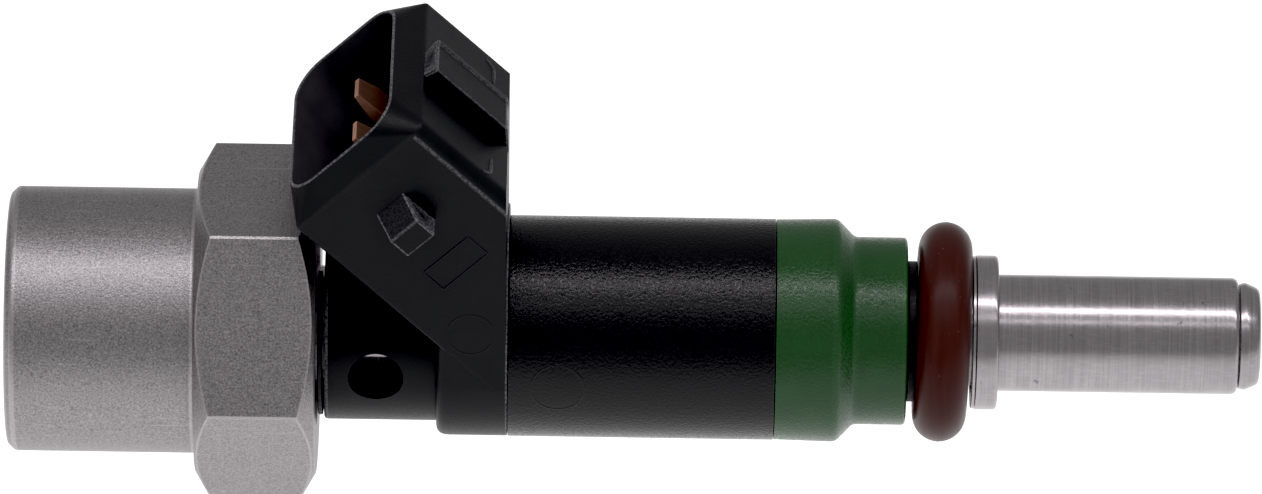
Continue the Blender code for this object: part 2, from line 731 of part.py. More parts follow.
def terminal(make, side):
    name = "terminal_left" if side < 0 else "terminal_right"
    y = side * BLADE_PITCH / 2
    tail = make.strip(name, tail_line(), TAIL_THICKNESS, TAIL_WIDTH, y, "copper_alloy")
    blade = make.hull(name + "_blade", [plug_point(d, a, y + b) for d, a, b in blade_points()])
    return make.join(tail, blade)


def terminal_slots(make, side):
    """The channels that a terminal lies in."""
    y = side * BLADE_PITCH / 2
    tag = "left" if side < 0 else "right"
    tail = make.strip(f"tail_slot_{tag}", tail_line(), TAIL_THICKNESS + 2 * SNUG, TAIL_WIDTH + 2 * SNUG, y)
    root = [p for p in blade_points(SNUG) if p[0] > SOCKET_DEPTH]
    slot = root + [(SOCKET_DEPTH - MM, across, b) for _, across, b in root]
    blade = make.hull(f"blade_slot_{tag}", [plug_point(d, a, y + b) for d, a, b in slot])
    return tail, blade


def connector_housing(make):
    housing = make.turned(
        "connector_housing",
        [
            (NECK_START, NECK_RADIUS - NECK_CHAMFER),
            (NECK_START + NECK_CHAMFER, NECK_RADIUS),
            (RING_START, NECK_RADIUS),
            (RING_START, RING_RADIUS - RING_CHAMFER),
            (RING_START + RING_CHAMFER, RING_RADIUS),
            (RING_END, RING_RADIUS),
        ],
        finish_name="smooth_black_nylon",
    )
    make.join(housing, shroud(make), rail(make), latch(make, -1), latch(make, 1))
    cutters = list(housing_cutters(make))
    for side in (-1, 1):
        cutters += terminal_slots(make, side)
    return make.cut(housing, *cutters)


def barrel_sleeve(make):
    return make.turned(
        "barrel_sleeve",
        [
            (BARREL_START, BARREL_RADIUS - BARREL_CHAMFER),
            (BARREL_START + BARREL_CHAMFER, BARREL_RADIUS),
            (BARREL_END, BARREL_RADIUS),
        ],
        [(BARREL_START, SLEEVE_BORE), (BARREL_END, SLEEVE_BORE)],
        "grained_black_nylon",
    )


def coil(make):
    """The solenoid: a winding on its bobbin, in a steel can and washer notched for the terminals' tails."""
    can = make.turned(
        "coil_can",
        [(CAN_START, CAN_RADIUS), (CAN_END, CAN_RADIUS)],
        [
            (CAN_START, CAN_BORE),
            (CAN_END - CAN_FLOOR, CAN_BORE),
            (CAN_END - CAN_FLOOR, BOBBIN_BORE),
            (CAN_END, BOBBIN_BORE),
        ],
        "magnetic_steel",
        INNER_SIDES,
    )
    spool_start, spool_end = BOBBIN_START + BOBBIN_FLANGE, BOBBIN_END - BOBBIN_FLANGE
    flange_radius = CAN_BORE - GAP
    make.turned(
        "coil_bobbin",
        [
            (BOBBIN_START, flange_radius),
            (spool_start, flange_radius),
            (spool_start, SPOOL_RADIUS),
            (spool_end, SPOOL_RADIUS),
            (spool_end, flange_radius),
            (BOBBIN_END, flange_radius),
        ],
        [(BOBBIN_START, BOBBIN_BORE), (BOBBIN_END, BOBBIN_BORE)],
        "brown_nylon",
        INNER_SIDES,
    )
    make.turned(
        "coil_winding",
        [(spool_start + SNUG, WINDING_OUTER), (spool_end - SNUG, WINDING_OUTER)],
        [(spool_start + SNUG, WINDING_INNER), (spool_end - SNUG, WINDING_INNER)],
        "enamelled_wire",
        INNER_SIDES,
    )
    washer = make.turned(
        "flux_washer",
        [(CAN_START, CAN_BORE - SNUG), (CAN_START + WASHER_THICKNESS, CAN_BORE - SNUG)],
        [(CAN_START, BOBBIN_BORE), (CAN_START + WASHER_THICKNESS, BOBBIN_BORE)],
        "magnetic_steel",
        INNER_SIDES,
    )
    half = BLADE_PITCH / 2 + TAIL_WIDTH / 2 + GAP
    notch_x = (at(CAN_START) - MM, at(BOBBIN_START))
    notch = make.hull(
        "lead_notch",
        [(x, side * half, z) for x in notch_x for side in (-1, 1) for z in (0, 2 * CAN_RADIUS)],
    )
    make.cut(washer, notch)
    make.cut(can, notch)


def cores(make):
    """The fixed core with its spring adjuster, the ring below it and the moving core."""
    make.turned(
        "pole_piece",
        [
            (POLE_START, VALVE_BODY_NECK_RADIUS),
            (POLE_STEP, VALVE_BODY_NECK_RADIUS),
            (POLE_STEP, VALVE_BODY_NECK_RADIUS - SHELL_RING_WALL - GAP),
            (POLE_END, VALVE_BODY_NECK_RADIUS - SHELL_RING_WALL - GAP),
        ],
        [(POLE_START, POLE_BORE_RADIUS), (POLE_END, POLE_BORE_RADIUS)],
        "magnetic_steel",
        INNER_SIDES,
    )
    adjuster_radius = POLE_BORE_RADIUS - GAP
    make.turned(
        "adjusting_tube",
        [(ADJUSTER_START, adjuster_radius), (ADJUSTER_END, adjuster_radius)],
        [
            (ADJUSTER_START, adjuster_radius - ADJUSTER_WALL),
            (ADJUSTER_END, adjuster_radius - ADJUSTER_WALL),
        ],
        "turned_steel",
        INNER_SIDES,
    )
    shell_end = SHELL_RING_START + SHELL_RING_LENGTH
    shell_bore = VALVE_BODY_NECK_RADIUS - SHELL_RING_WALL
    make.turned(
        "nonmagnetic_ring",
        [(SHELL_RING_START, VALVE_BODY_NECK_RADIUS), (shell_end, VALVE_BODY_NECK_RADIUS)],
        [(SHELL_RING_START, shell_bore), (shell_end, shell_bore)],
        "turned_steel",
        INNER_SIDES,
    )
    pocket = ARMATURE_START + SPRING_POCKET_DEPTH
    socket = NEEDLE_START - GAP
    needle_bore = NEEDLE_RADIUS - NEEDLE_WALL
    make.turned(
        "armature",
        [(ARMATURE_START, VALVE_BORE - GAP), (ARMATURE_END, VALVE_BORE - GAP)],
        [
            (ARMATURE_START, SPRING_RADIUS + GAP),
            (pocket, SPRING_RADIUS + GAP),
            (pocket, needle_bore),
            (socket, needle_bore),
            (socket, NEEDLE_RADIUS + GAP),
            (ARMATURE_END, NEEDLE_RADIUS + GAP),
        ],
        "magnetic_steel",
        INNER_SIDES,
    )


def return_spring(make):
    """A coil between the adjusting tube and the armature's pocket."""
    start = ADJUSTER_END + GAP + SPRING_WIRE / 2
    end = ARMATURE_START + SPRING_POCKET_DEPTH - NEEDLE_LIFT - GAP - SPRING_WIRE / 2
    points_a_turn = 14
    count = SPRING_TURNS * points_a_turn + 1
    middle = SPRING_RADIUS - SPRING_WIRE / 2
    curve = bpy.data.curves.new("return_spring", "CURVE")
    curve.dimensions = "3D"
    curve.bevel_depth = SPRING_WIRE / 2
    curve.bevel_resolution = 2
    curve.use_fill_caps = True
    spline = curve.splines.new("POLY")
    spline.points.add(count - 1)
    for i, point in enumerate(spline.points):
        turn = math.tau * i / points_a_turn
        x = at(start) + (end - start) * i / (count - 1)
        point.co = (x, middle * math.cos(turn), middle * math.sin(turn), 1)
    guide = bpy.data.objects.new("spring_path", curve)
    return make.meshed("return_spring", guide, "turned_steel")


def needle(make):
    bore = NEEDLE_RADIUS - NEEDLE_WALL
    tube = make.turned(
        "needle_tube",
        [(NEEDLE_START, NEEDLE_RADIUS), (NEEDLE_END, NEEDLE_RADIUS)],
        [(NEEDLE_START, bore), (NEEDLE_END, bore)],
        "turned_steel",
        INNER_SIDES,
    )
    x = at(NEEDLE_END - NEEDLE_PORT_SETBACK)
    reach = 2 * NEEDLE_RADIUS
    ports = make.rod("needle_ports", NEEDLE_PORT_RADIUS, (x, -reach, 0), (x, reach, 0), sides=12)
    make.cut(tube, ports)
    ball = bpy.data.meshes.new("valve_ball")
    shape = bmesh.new()
    bmesh.ops.create_uvsphere(shape, u_segments=24, v_segments=12, radius=BALL_RADIUS)
    shape.to_mesh(ball)
    shape.free()
    made = make.add("valve_ball", ball, "turned_steel")
    made.location.x = at(BALL_STATION)
    make.smooth(made)


def lower_body(make):
    return make.turned(
        "lower_body",
        [
            (LOWER_START, LOWER_RADIUS_START),
            (LOWER_CHAMFER_START, LOWER_RADIUS_END),
            (LOWER_SMALL_START, LOWER_SMALL_RADIUS),
            (LOWER_END - LOWER_END_CHAMFER, LOWER_SMALL_RADIUS),
            (LOWER_END, LOWER_SMALL_RADIUS - LOWER_END_CHAMFER),
        ],
        [(LOWER_START, BOBBIN_BORE), (LOWER_END, BOBBIN_BORE)],
        "green_nylon",
    )


def nozzle_seal(make):
    """The O-ring between its spacer and its retainer."""
    make.turned(
        "o_ring_spacer",
        [(SPACER_START, SPACER_RADIUS), (SPACER_END, SPACER_RADIUS)],
        [(SPACER_START, BOBBIN_BORE), (SPACER_END, BOBBIN_BORE)],
        "black_plastic",
    )
    make.torus("nozzle_o_ring", O_RING_MAJOR, O_RING_MINOR, O_RING_STATION, "brown_rubber", 48, 16)
    make.turned(
        "o_ring_retainer",
        [(RETAINER_START, RETAINER_RADIUS)] + rounded_end(RETAINER_END, RETAINER_RADIUS, RETAINER_ROUND, 3),
        [(RETAINER_START, RETAINER_BORE), (RETAINER_END, RETAINER_BORE)],
        "turned_steel",
    )


def valve_body(make):
    return make.turned(
        "valve_body",
        [
            (VALVE_BODY_START, VALVE_BODY_NECK_RADIUS),
            (NOZZLE_START, VALVE_BODY_NECK_RADIUS),
            (NOZZLE_START, NOZZLE_RADIUS),
        ]
        + rounded_end(NOZZLE_END, NOZZLE_RADIUS, NOZZLE_ROUND, 4),
        [(VALVE_BODY_START, VALVE_BORE), (NOZZLE_END, VALVE_BORE)],
        "turned_steel",
        48,
    )


def drilled_disc(make, name, start, end, radius, centre_bore, holes, hole_radius, hole_circle):
    """A disc with a ring of small holes, and with a centre bore where one is given."""
    bore = [(start, centre_bore), (end, centre_bore)] if centre_bore else None
    disc = make.turned(name, [(start, radius), (end, radius)], bore, "turned_steel", INNER_SIDES)
    drills = []
    for i in range(holes):
        turn = math.tau * (i + 0.5) / holes
        y, z = hole_circle * math.cos(turn), hole_circle * math.sin(turn)
        ends = ((at(start) - MM, y, z), (at(end) + MM, y, z))
        drills.append(make.rod(f"{name}_hole_{i + 1}", hole_radius, *ends, sides=10))
    return make.cut(disc, *drills)


def valve_seat(make):
    """The seat's cone leaves the gap all round the ball, measured square to the cone."""
    touch = BALL_STATION + math.sqrt(2) * (BALL_RADIUS + SNUG)
    radius = VALVE_BORE - SNUG
    return make.turned(
        "valve_seat",
        [(SEAT_START, radius), (SEAT_END, radius)],
        [
            (SEAT_START, touch - SEAT_START),
            (touch - SEAT_HOLE_RADIUS, SEAT_HOLE_RADIUS),
            (SEAT_END, SEAT_HOLE_RADIUS),
        ],
        "turned_steel",
        INNER_SIDES,
    )


def nozzle_end(make):
    """What closes the valve body: the needle's guide, the seat, the orifice plate and the tip."""
    disc_radius = VALVE_BORE - SNUG
    guide_bore = NEEDLE_RADIUS + GAP
    guide_circle = (guide_bore + disc_radius) / 2
    guide = ("needle_guide", GUIDE_START, GUIDE_END, disc_radius, guide_bore)
    drilled_disc(make, *guide, GUIDE_HOLES, GUIDE_HOLE_RADIUS, guide_circle)
    valve_seat(make)
    plate = ("orifice_plate", PLATE_START, PLATE_END, disc_radius, 0)
    drilled_disc(make, *plate, PLATE_HOLES, PLATE_HOLE_RADIUS, PLATE_HOLE_CIRCLE)
    make.turned(
        "nozzle_tip",
        [(TIP_START, TIP_RADIUS)] + rounded_end(TIP_END, TIP_RADIUS, TIP_ROUND, 4),
        [(TIP_START, TIP_OPENING_RADIUS), (TIP_END, TIP_OPENING_RADIUS)],
        "turned_steel",
        48,
    )


def main():
    clear_scene()
    make = Builder()
    inlet_adapter(make)
    retaining_clip(make)
    fuel_tube(make)
    inlet_seal(make)
    inlet_filter(make)
    connector_housing(make)
    for side in (-1, 1):
        terminal(make, side)
    barrel_sleeve(make)
    coil(make)
    cores(make)
    return_spring(make)
    needle(make)
    lower_body(make)
    nozzle_seal(make)
    valve_body(make)
    nozzle_end(make)


main()
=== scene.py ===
import json
import math
import bpy
import numpy as np
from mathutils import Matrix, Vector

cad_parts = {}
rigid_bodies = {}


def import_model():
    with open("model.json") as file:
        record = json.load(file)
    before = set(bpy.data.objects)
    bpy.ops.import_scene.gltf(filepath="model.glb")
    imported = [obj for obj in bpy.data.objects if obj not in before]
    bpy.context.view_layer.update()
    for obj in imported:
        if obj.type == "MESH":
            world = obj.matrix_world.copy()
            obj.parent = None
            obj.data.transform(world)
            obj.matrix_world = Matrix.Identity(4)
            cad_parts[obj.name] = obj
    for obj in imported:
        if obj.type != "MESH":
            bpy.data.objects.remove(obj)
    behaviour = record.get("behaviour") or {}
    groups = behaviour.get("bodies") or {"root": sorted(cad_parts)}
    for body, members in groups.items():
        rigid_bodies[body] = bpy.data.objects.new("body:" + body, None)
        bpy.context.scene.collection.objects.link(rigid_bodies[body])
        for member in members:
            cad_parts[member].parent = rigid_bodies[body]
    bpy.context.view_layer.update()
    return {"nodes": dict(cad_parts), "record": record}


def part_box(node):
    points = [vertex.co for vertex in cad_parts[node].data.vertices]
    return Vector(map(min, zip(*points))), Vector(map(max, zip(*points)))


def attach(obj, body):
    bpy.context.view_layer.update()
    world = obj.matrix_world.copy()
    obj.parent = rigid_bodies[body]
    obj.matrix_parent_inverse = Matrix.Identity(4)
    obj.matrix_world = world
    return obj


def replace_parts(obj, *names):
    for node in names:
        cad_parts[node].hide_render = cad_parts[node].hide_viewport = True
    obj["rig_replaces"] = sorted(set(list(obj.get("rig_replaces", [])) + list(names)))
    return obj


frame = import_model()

# A fuel injector lying along X, its plug socket leaning back over the inlet. Sizes are in millimetres and
# become metres where a mesh is made. Angles round the axis start at -Y, the viewer's side, and grow to +Z.
mm = 0.001
fullTurn = 2 * math.pi
sharpAngle = 38     # steeper edges stay sharp
viewHeight = 34.7   # how far the viewer stands above the axis, as an angle


def boxOf(node):
    low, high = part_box(node)
    return np.array(low) / mm, np.array(high) / mm


def around(x, radius, angle):
    # A point at distance radius from the axis: y is minus radius times the cosine, z radius times the sine.
    x, radius, angle = np.broadcast_arrays(x, radius, angle)
    return np.stack([x, -radius * np.cos(angle), radius * np.sin(angle)], axis=-1)


def roundedRows(keys, bends, spacing, closed=False, steps=5, support=0.06):
    # Straight runs from key to key. Near a key the line follows the quadratic curve that leaves the run
    # one bend before the key and joins the next run one bend after it. Runs are cut at even steps, with
    # one more cut close to each bend, so that flat stretches shade flat. The second result is 1 on bends,
    # where finishes lighten the colour as edge wear and as painted edge highlight.
    keys = np.asarray(keys, float)
    count = len(keys)
    entries, exits = [], []
    for i in range(count):
        before = keys[i - 1] if closed or i > 0 else keys[i]
        after = keys[(i + 1) % count] if closed or i < count - 1 else keys[i]
        for other, ends in ((before, entries), (after, exits)):
            reach = np.linalg.norm(other - keys[i], axis=-1, keepdims=True)
            share = np.minimum(bends[i], 0.45 * reach) / np.maximum(reach, 1e-9)
            ends.append(keys[i] + (other - keys[i]) * share)
    rows, wearAndSheen = [], []
    for i in range(count):
        if bends[i] > 0:
            s = np.linspace(0, 1, steps + 1).reshape(-1, *[1] * (keys.ndim - 1))
            curve = (1 - s) ** 2 * entries[i] + 2 * s * (1 - s) * keys[i] + s**2 * exits[i]
        else:
            curve = keys[i][None]
        rows.append(curve)
        wearAndSheen.append(np.full(len(curve), 1.0 if bends[i] > 0 else 0.0))
        if i == count - 1 and not closed:
            break
        start, end = exits[i], entries[(i + 1) % count]
        length = np.linalg.norm(end - start, axis=-1).max()
        pieces = max(1, math.ceil(length / spacing))
        cuts = np.arange(1, pieces) / pieces
        near = min(support / max(length, 1e-6), 0.25)
        cuts = np.unique(np.concatenate([[near], cuts, [1 - near]]))
        t = cuts.reshape(-1, *[1] * (keys.ndim - 1))
        rows.append(start + (end - start) * t)
        wearAndSheen.append(np.zeros(len(cuts)))
    return np.concatenate(rows), np.concatenate(wearAndSheen)


def gridFaces(rows, columns, closedRows):
    # The four corners of every cell of a grid whose columns close round, and whose rows may.
    i = np.arange(rows if closedRows else rows - 1)[:, None]
    j = np.arange(columns)[None, :]
    right, below = (j + 1) % columns, (i + 1) % rows
    corners = np.broadcast_arrays(
        i * columns + j, i * columns + right, below * columns + right, below * columns + j
    )
    return np.stack(corners, axis=-1).reshape(-1, 4)


def volumeOf(points, faces):
    # Six times the volume inside, as a sum of signed tetrahedra. It is below zero if the faces point in.
    a, b = points[faces[:, 0]], points[faces[:, 1]]
    volume = 0.0
    for k in range(2, faces.shape[1]):
        c = points[faces[:, k]]
        volume += np.einsum("ij,ij->", a, np.cross(b, c))
        b = c
    return volume


def closedMesh(name, grid, closedRows=False, poles=None):
    # A grid of points as one closed mesh. The columns close round; the rows close too, or end in two poles.
    rows, columns = grid.shape[:2]
    points = grid.reshape(-1, 3)
    faces = gridFaces(rows, columns, closedRows)
    fans = np.zeros((0, 3), int)
    if poles is not None:
        first, j = len(points), np.arange(columns)
        k = (j + 1) % columns
        last = (rows - 1) * columns
        fans = np.concatenate([
            np.stack([k, j, np.full(columns, first)], axis=-1),
            np.stack([last + j, last + k, np.full(columns, first + 1)], axis=-1),
        ])
        points = np.concatenate([points, np.asarray(poles, float)])
    if volumeOf(points, faces) + volumeOf(points, fans) < 0:
        faces, fans = faces[:, ::-1], fans[:, ::-1]
    mesh = bpy.data.meshes.new(name)
    mesh.from_pydata((points * mm).tolist(), [], faces.tolist() + fans.tolist())
    mesh.validate()
    return mesh


def skinPiece(name, grid, slot, body="injector_body", stands=(), closedRows=False,
              poles=None, wearAndSheen=None, sharp=sharpAngle):
    # A closed mesh of the grid as a finished piece. The wear-and-sheen share, from 0 to 1, may differ from
    # point to point; finishes lighten the colour by it, as edge wear and as painted highlight.
    rows, columns = grid.shape[:2]
    mesh = closedMesh(name, grid, closedRows, poles)
    if wearAndSheen is not None:
        shown = np.zeros(len(mesh.vertices), np.float32)
        shown[: rows * columns] = np.broadcast_to(wearAndSheen, (rows, columns)).reshape(-1)
        mesh.attributes.new("wearAndSheen", "FLOAT", "POINT").data.foreach_set("value", shown)
    mesh.shade_smooth()
    mesh.set_sharp_from_angle(angle=math.radians(sharp))
    mesh.materials.append(finishes[slot])
    piece = bpy.data.objects.new(name, mesh)
    bpy.context.scene.collection.objects.link(piece)
    if stands:
        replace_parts(piece, *stands)
    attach(piece, body)
    return piece


def turnedPiece(name, profile, slot, columns=240, spacing=0.5, **more):
    # A closed profile of (x, radius, bend) corners carried round the axis: each of its points runs round
    # the circle of its radius.
    profile = np.array(profile, float)
    line, wearAndSheen = roundedRows(profile[:, None, :2], profile[:, 2], spacing, closed=True)
    angle = np.arange(columns) * fullTurn / columns
    grid = around(line[..., 0], line[..., 1], angle[None, :])
    return skinPiece(name, grid, slot, closedRows=True, wearAndSheen=wearAndSheen[:, None], **more)


def prismPiece(name, outline, low, high, place, bevel, slot, spacing=0.5, wearAndSheenShare=0.0):
    # An outline of (a, b) points carried along a third direction from low to high, which may differ from
    # point to point. Both ends draw in towards the outline's middle by the bevel, then close on a pole.
    middle = outline.mean(axis=0)
    inward = middle - outline
    reach = np.linalg.norm(inward, axis=-1, keepdims=True)
    small = outline + inward / reach * bevel
    low, high = np.broadcast_to(low, len(outline)), np.broadcast_to(high, len(outline))
    keys = np.stack([
        place(low, *small.T),
        place(low + bevel, *outline.T),
        place(high - bevel, *outline.T),
        place(high, *small.T),
    ])
    rows, wearAndSheen = roundedRows(keys, [0.3 * bevel, 0.6 * bevel, 0.6 * bevel, 0.3 * bevel], spacing, steps=3)
    poles = [place(low.mean(), *middle), place(high.mean(), *middle)]
    return skinPiece(name, rows, slot, poles=poles, wearAndSheen=np.maximum(wearAndSheen[:, None], wearAndSheenShare))


def raisedLine(name, path, normal, width, height, slot):
    # A closed path with an ellipse carried along it: half the width times the cosine sideways, the height
    # times the sine along the surface's normal.
    along = np.roll(path, -1, axis=0) - np.roll(path, 1, axis=0)
    side = np.cross(normal, along)
    side /= np.linalg.norm(side, axis=-1, keepdims=True)
    s = np.linspace(0, fullTurn, 12, endpoint=False)[:, None, None]
    grid = path + side * width / 2 * np.cos(s) + normal * height * np.sin(s)
    return skinPiece(name, grid, slot, closedRows=True)


def circlePath(radius, columns=72):
    # The radius times the cosine and the sine of evenly spaced angles.
    angle = np.arange(columns) * fullTurn / columns
    return radius * np.cos(angle), radius * np.sin(angle)


def oblongOutline(tall, wide, corners, cornerSteps=8, sideSteps=14):
    # A rectangle of half sizes tall and wide, with a quarter circle of its own radius at each corner and
    # even steps between. The corners run (+,+), (-,+), (-,-), (+,-).
    signs = ((1, 1), (-1, 1), (-1, -1), (1, -1))
    arcs = []
    for quarter, ((a, b), corner) in enumerate(zip(signs, corners)):
        turn = (quarter + np.linspace(0, 1, cornerSteps + 1)) * math.pi / 2
        centre = np.array([a * (tall - corner), b * (wide - corner)])
        arcs.append(centre + corner * np.stack([np.cos(turn), np.sin(turn)], axis=-1))
    parts = []
    for i, arc in enumerate(arcs):
        following = arcs[(i + 1) % 4][0]
        t = np.linspace(0, 1, sideSteps + 2)[1:-1, None]
        t = np.concatenate([[[0.02]], t, [[0.98]]])
        parts += [arc, arc[-1] + (following - arc[-1]) * t]
    return np.concatenate(parts)


def feed(socket, item):
    # A value made by nodes is linked to the socket; a plain number, vector or colour is set on it.
    if isinstance(item, Value):
        socket.id_data.links.new(item.socket, socket)
    else:
        socket.default_value = item


class Value:
    # A node's output used as a number: arithmetic on it adds Math nodes.
    def __init__(self, socket):
        self.socket = socket

    def combined(self, operation, first, second):
        node = self.socket.id_data.nodes.new("ShaderNodeMath")
        node.operation = operation
        feed(node.inputs[0], first)
        feed(node.inputs[1], second)
        return Value(node.outputs[0])

    def __add__(self, other):
        return self.combined("ADD", self, other)

    def __sub__(self, other):
        return self.combined("SUBTRACT", self, other)

    def __rsub__(self, other):
        return self.combined("SUBTRACT", other, self)

    def __mul__(self, other):
        return self.combined("MULTIPLY", self, other)

    __radd__ = __add__
    __rmul__ = __mul__


class Finish:
    # A Principled material that is built up in words. Its place is in millimetres.
    def __init__(self, name, colour, roughness, metallic=0.0, specular=0.5):
        self.material = bpy.data.materials.new(name)
        self.material.use_nodes = True
        self.tree = self.material.node_tree
        self.shader = self.tree.nodes["Principled BSDF"]
        self.set("Base Color", (*colour, 1))
        self.set("Roughness", roughness)
        self.set("Metallic", metallic)
        self.set("Specular IOR Level", specular)
        coordinates = self.node("TexCoord", output="Object")
        self.place = self.node("Mapping", values={"Vector": coordinates, "Scale": (1 / mm, 1 / mm, 1 / mm)})

    def node(self, kind, settings=None, values=None, output=0):
        made = self.tree.nodes.new("ShaderNode" + kind)
        for key, setting in (settings or {}).items():
            setattr(made, key, setting)
        for key, value in (values or {}).items():
            feed(made.inputs[key], value)
        return Value(made.outputs[output])

    def set(self, key, value):
        feed(self.shader.inputs[key], value)

    def noise(self, scale, stretch=(1, 1, 1), detail=2.0, turned=(0, 0, 0)):
        # Cells a millimetre are scale times the stretch of each axis.
        place = self.node("Mapping", values={"Vector": self.place, "Scale": stretch, "Rotation": turned})
        return self.node("TexNoise", None, {"Vector": place, "Scale": scale, "Detail": detail}, "Fac")

    def band(self, value, low, high):
        # 0 below low, 1 above high, and a straight slope between.
        limits = {"Value": value, "From Min": low, "From Max": high}
        return self.node("MapRange", {"clamp": True}, limits, "Result")

    def blend(self, share, first, second):
        # The first colour where share is 0 and the second where it is 1. A Mix node's sockets share their
        # names, so its colours go in by number: 6 and 7, and out at 2.
        first, second = (item if isinstance(item, Value) else (*item, 1) for item in (first, second))
        return self.node("Mix", {"data_type": "RGBA"}, {"Factor": share, 6: first, 7: second}, 2)

    def relief(self, height, depth):
        # A height from 0 to 1 stands for the depth, in millimetres.
        self.set("Normal", self.node("Bump", values={"Height": height, "Distance": depth * mm}))

    def attribute(self, name):
        return self.node("Attribute", {"attribute_name": name}, output="Fac")


def shade(colour, factor):
    return tuple(min(1.0, part * factor) for part in colour)


def blastedSteelFinish():
    look = {"colour": (0.34, 0.325, 0.33), "roughness": 0.41, "grain": 8.0, "depth": 0.034}
    finish = Finish("blastedSteel", look["colour"], look["roughness"], 1.0)
    grain = finish.noise(look["grain"], detail=3)
    cloud = finish.noise(0.35, detail=3)
    rings = finish.noise(5.0, stretch=(1, 0.03, 0.03), detail=2)
    pulls = finish.noise(4.0, stretch=(0.05, 1, 1), detail=1)
    pits = finish.band(finish.noise(2.6, detail=1), 0.7, 0.76)
    scratches = finish.band(pulls, 0.68, 0.74)
    speckle = finish.band(grain, 0.3, 0.72)
    colour = finish.blend(speckle, shade(look["colour"], 0.58), shade(look["colour"], 1.42))
    colour = finish.blend(cloud * 0.35, colour, shade(look["colour"], 0.92))
    colour = finish.blend(scratches * 0.25, colour, shade(look["colour"], 1.7))
    colour = finish.blend(pits * 0.5, colour, shade(look["colour"], 0.45))
    # Edges and the hexagon's corners lighten: edge wear and painted edge highlight.
    colour = finish.blend(finish.attribute("wearAndSheen") * 0.4, colour, shade(look["colour"], 1.8))
    finish.set("Base Color", colour)
    finish.set("Roughness", grain * 0.16 + rings * 0.1 + (look["roughness"] - 0.13))
    finish.relief(grain * 0.7 + rings * 0.35, look["depth"])
    return finish.material


def turnedSteelFinish():
    look = {"colour": (0.405, 0.382, 0.392), "roughness": 0.21, "lines": 9.0, "depth": 0.0045}
    finish = Finish("turnedSteel", look["colour"], look["roughness"], 1.0)
    lines = finish.noise(look["lines"], stretch=(1, 0.02, 0.02), detail=3)
    smudge = finish.noise(0.6, detail=4)
    fine = finish.noise(7.0, stretch=(1, 1, 0.5), detail=3)
    pulls = finish.noise(6.0, stretch=(0.25, 1, 1), detail=2, turned=(0, 0.7, 0.4))
    crossed = finish.band(pulls, 0.5, 0.68)
    nicks = finish.band(finish.noise(1.7, stretch=(1, 1, 0.6), detail=2), 0.71, 0.75)
    contrast = finish.band(lines, 0.3, 0.7)
    colour = finish.blend(contrast, shade(look["colour"], 0.84), shade(look["colour"], 1.1))
    colour = finish.blend(crossed * 0.3, colour, shade(look["colour"], 1.3))
    colour = finish.blend(finish.band(smudge, 0.35, 0.75) * 0.35, colour, shade(look["colour"], 0.7))
    colour = finish.blend(nicks * 0.6, colour, shade(look["colour"], 0.35))
    finish.set("Base Color", colour)
    finish.set("Roughness", lines * 0.14 + fine * 0.1 + smudge * 0.14 + (look["roughness"] - 0.17))
    finish.relief(lines * 0.6 + fine * 0.4, look["depth"])
    return finish.material


def plasticFinish(name, look):
    finish = Finish(name, look["colour"], look["roughness"], specular=look["specular"])
    grain = finish.noise(look["grain"], detail=2)
    cloud = finish.noise(0.5, detail=3)
    flow = finish.noise(1.2, stretch=(0.3, 1, 1), detail=3)
    colour = finish.blend(cloud, shade(look["colour"], 0.8), shade(look["colour"], 1.25))
    colour = finish.blend(finish.band(grain, 0.45, 0.75) * look["fleck"], colour, look["fleckColour"])
    # Painted light: the socket's inner walls are lightened to the socket-light colour, mottled by the
    # cloud, where the lamps leave them nearly black.
    if "socketPaintedLightColour" in look:
        socketPaintedLight = finish.attribute("socketPaintedLight") * (cloud * 0.5 + 0.5)
        colour = finish.blend(socketPaintedLight, colour, look["socketPaintedLightColour"])
    # Edges lighten to the edge colour in dots: edge wear, and painted highlight along rims and rounded
    # edges.
    dots = finish.band(finish.noise(6.5, detail=1), 0.35, 0.6)
    wearAndSheenShare = finish.attribute("wearAndSheen") * (dots * 0.8 + 0.2) * look["edge"]
    finish.set("Base Color", finish.blend(wearAndSheenShare, colour, look["edgeColour"]))
    spots = finish.band(grain, 0.36, 0.64)
    smoothest = look["roughness"] - 0.04 - look["spread"] / 2
    finish.set("Roughness", spots * look["spread"] + flow * 0.08 + smoothest)
    finish.relief(spots, look["depth"])
    return finish.material


def rubberFinish(name, colour, roughness):
    finish = Finish(name, colour, roughness, specular=0.18)
    streaks = finish.noise(2.2, stretch=(1, 0.12, 0.12), detail=3)
    dust = finish.band(finish.noise(5.0, detail=2), 0.72, 0.78)
    skin = finish.noise(12.0, detail=2)
    shown = finish.blend(streaks, shade(colour, 0.75), shade(colour, 1.35))
    shown = finish.blend(dust * 0.25, shown, (0.35, 0.3, 0.28))
    finish.set("Base Color", shown)
    finish.set("Roughness", streaks * 0.2 + skin * 0.08 + (roughness - 0.14))
    finish.relief(skin, 0.003)
    return finish.material


def metalFinish(name, colour, roughness, direction=(1, 0.1, 0.1), metallic=1.0, depth=0.004):
    # Stamped, drawn or ground metal: fine lines square to the direction that isn't stretched.
    finish = Finish(name, colour, roughness, metallic)
    lines = finish.noise(7.0, stretch=direction, detail=3)
    cloud = finish.noise(0.9, detail=3)
    shown = finish.blend(lines, shade(colour, 0.75), shade(colour, 1.25))
    shown = finish.blend(finish.band(cloud, 0.4, 0.8) * 0.4, shown, shade(colour, 0.6))
    # Edges lighten: edge wear and painted edge highlight.
    shown = finish.blend(finish.attribute("wearAndSheen") * 0.5, shown, shade(colour, 1.7))
    finish.set("Base Color", shown)
    finish.set("Roughness", lines * 0.16 + cloud * 0.12 + (roughness - 0.14))
    finish.relief(lines, depth)
    return finish.material


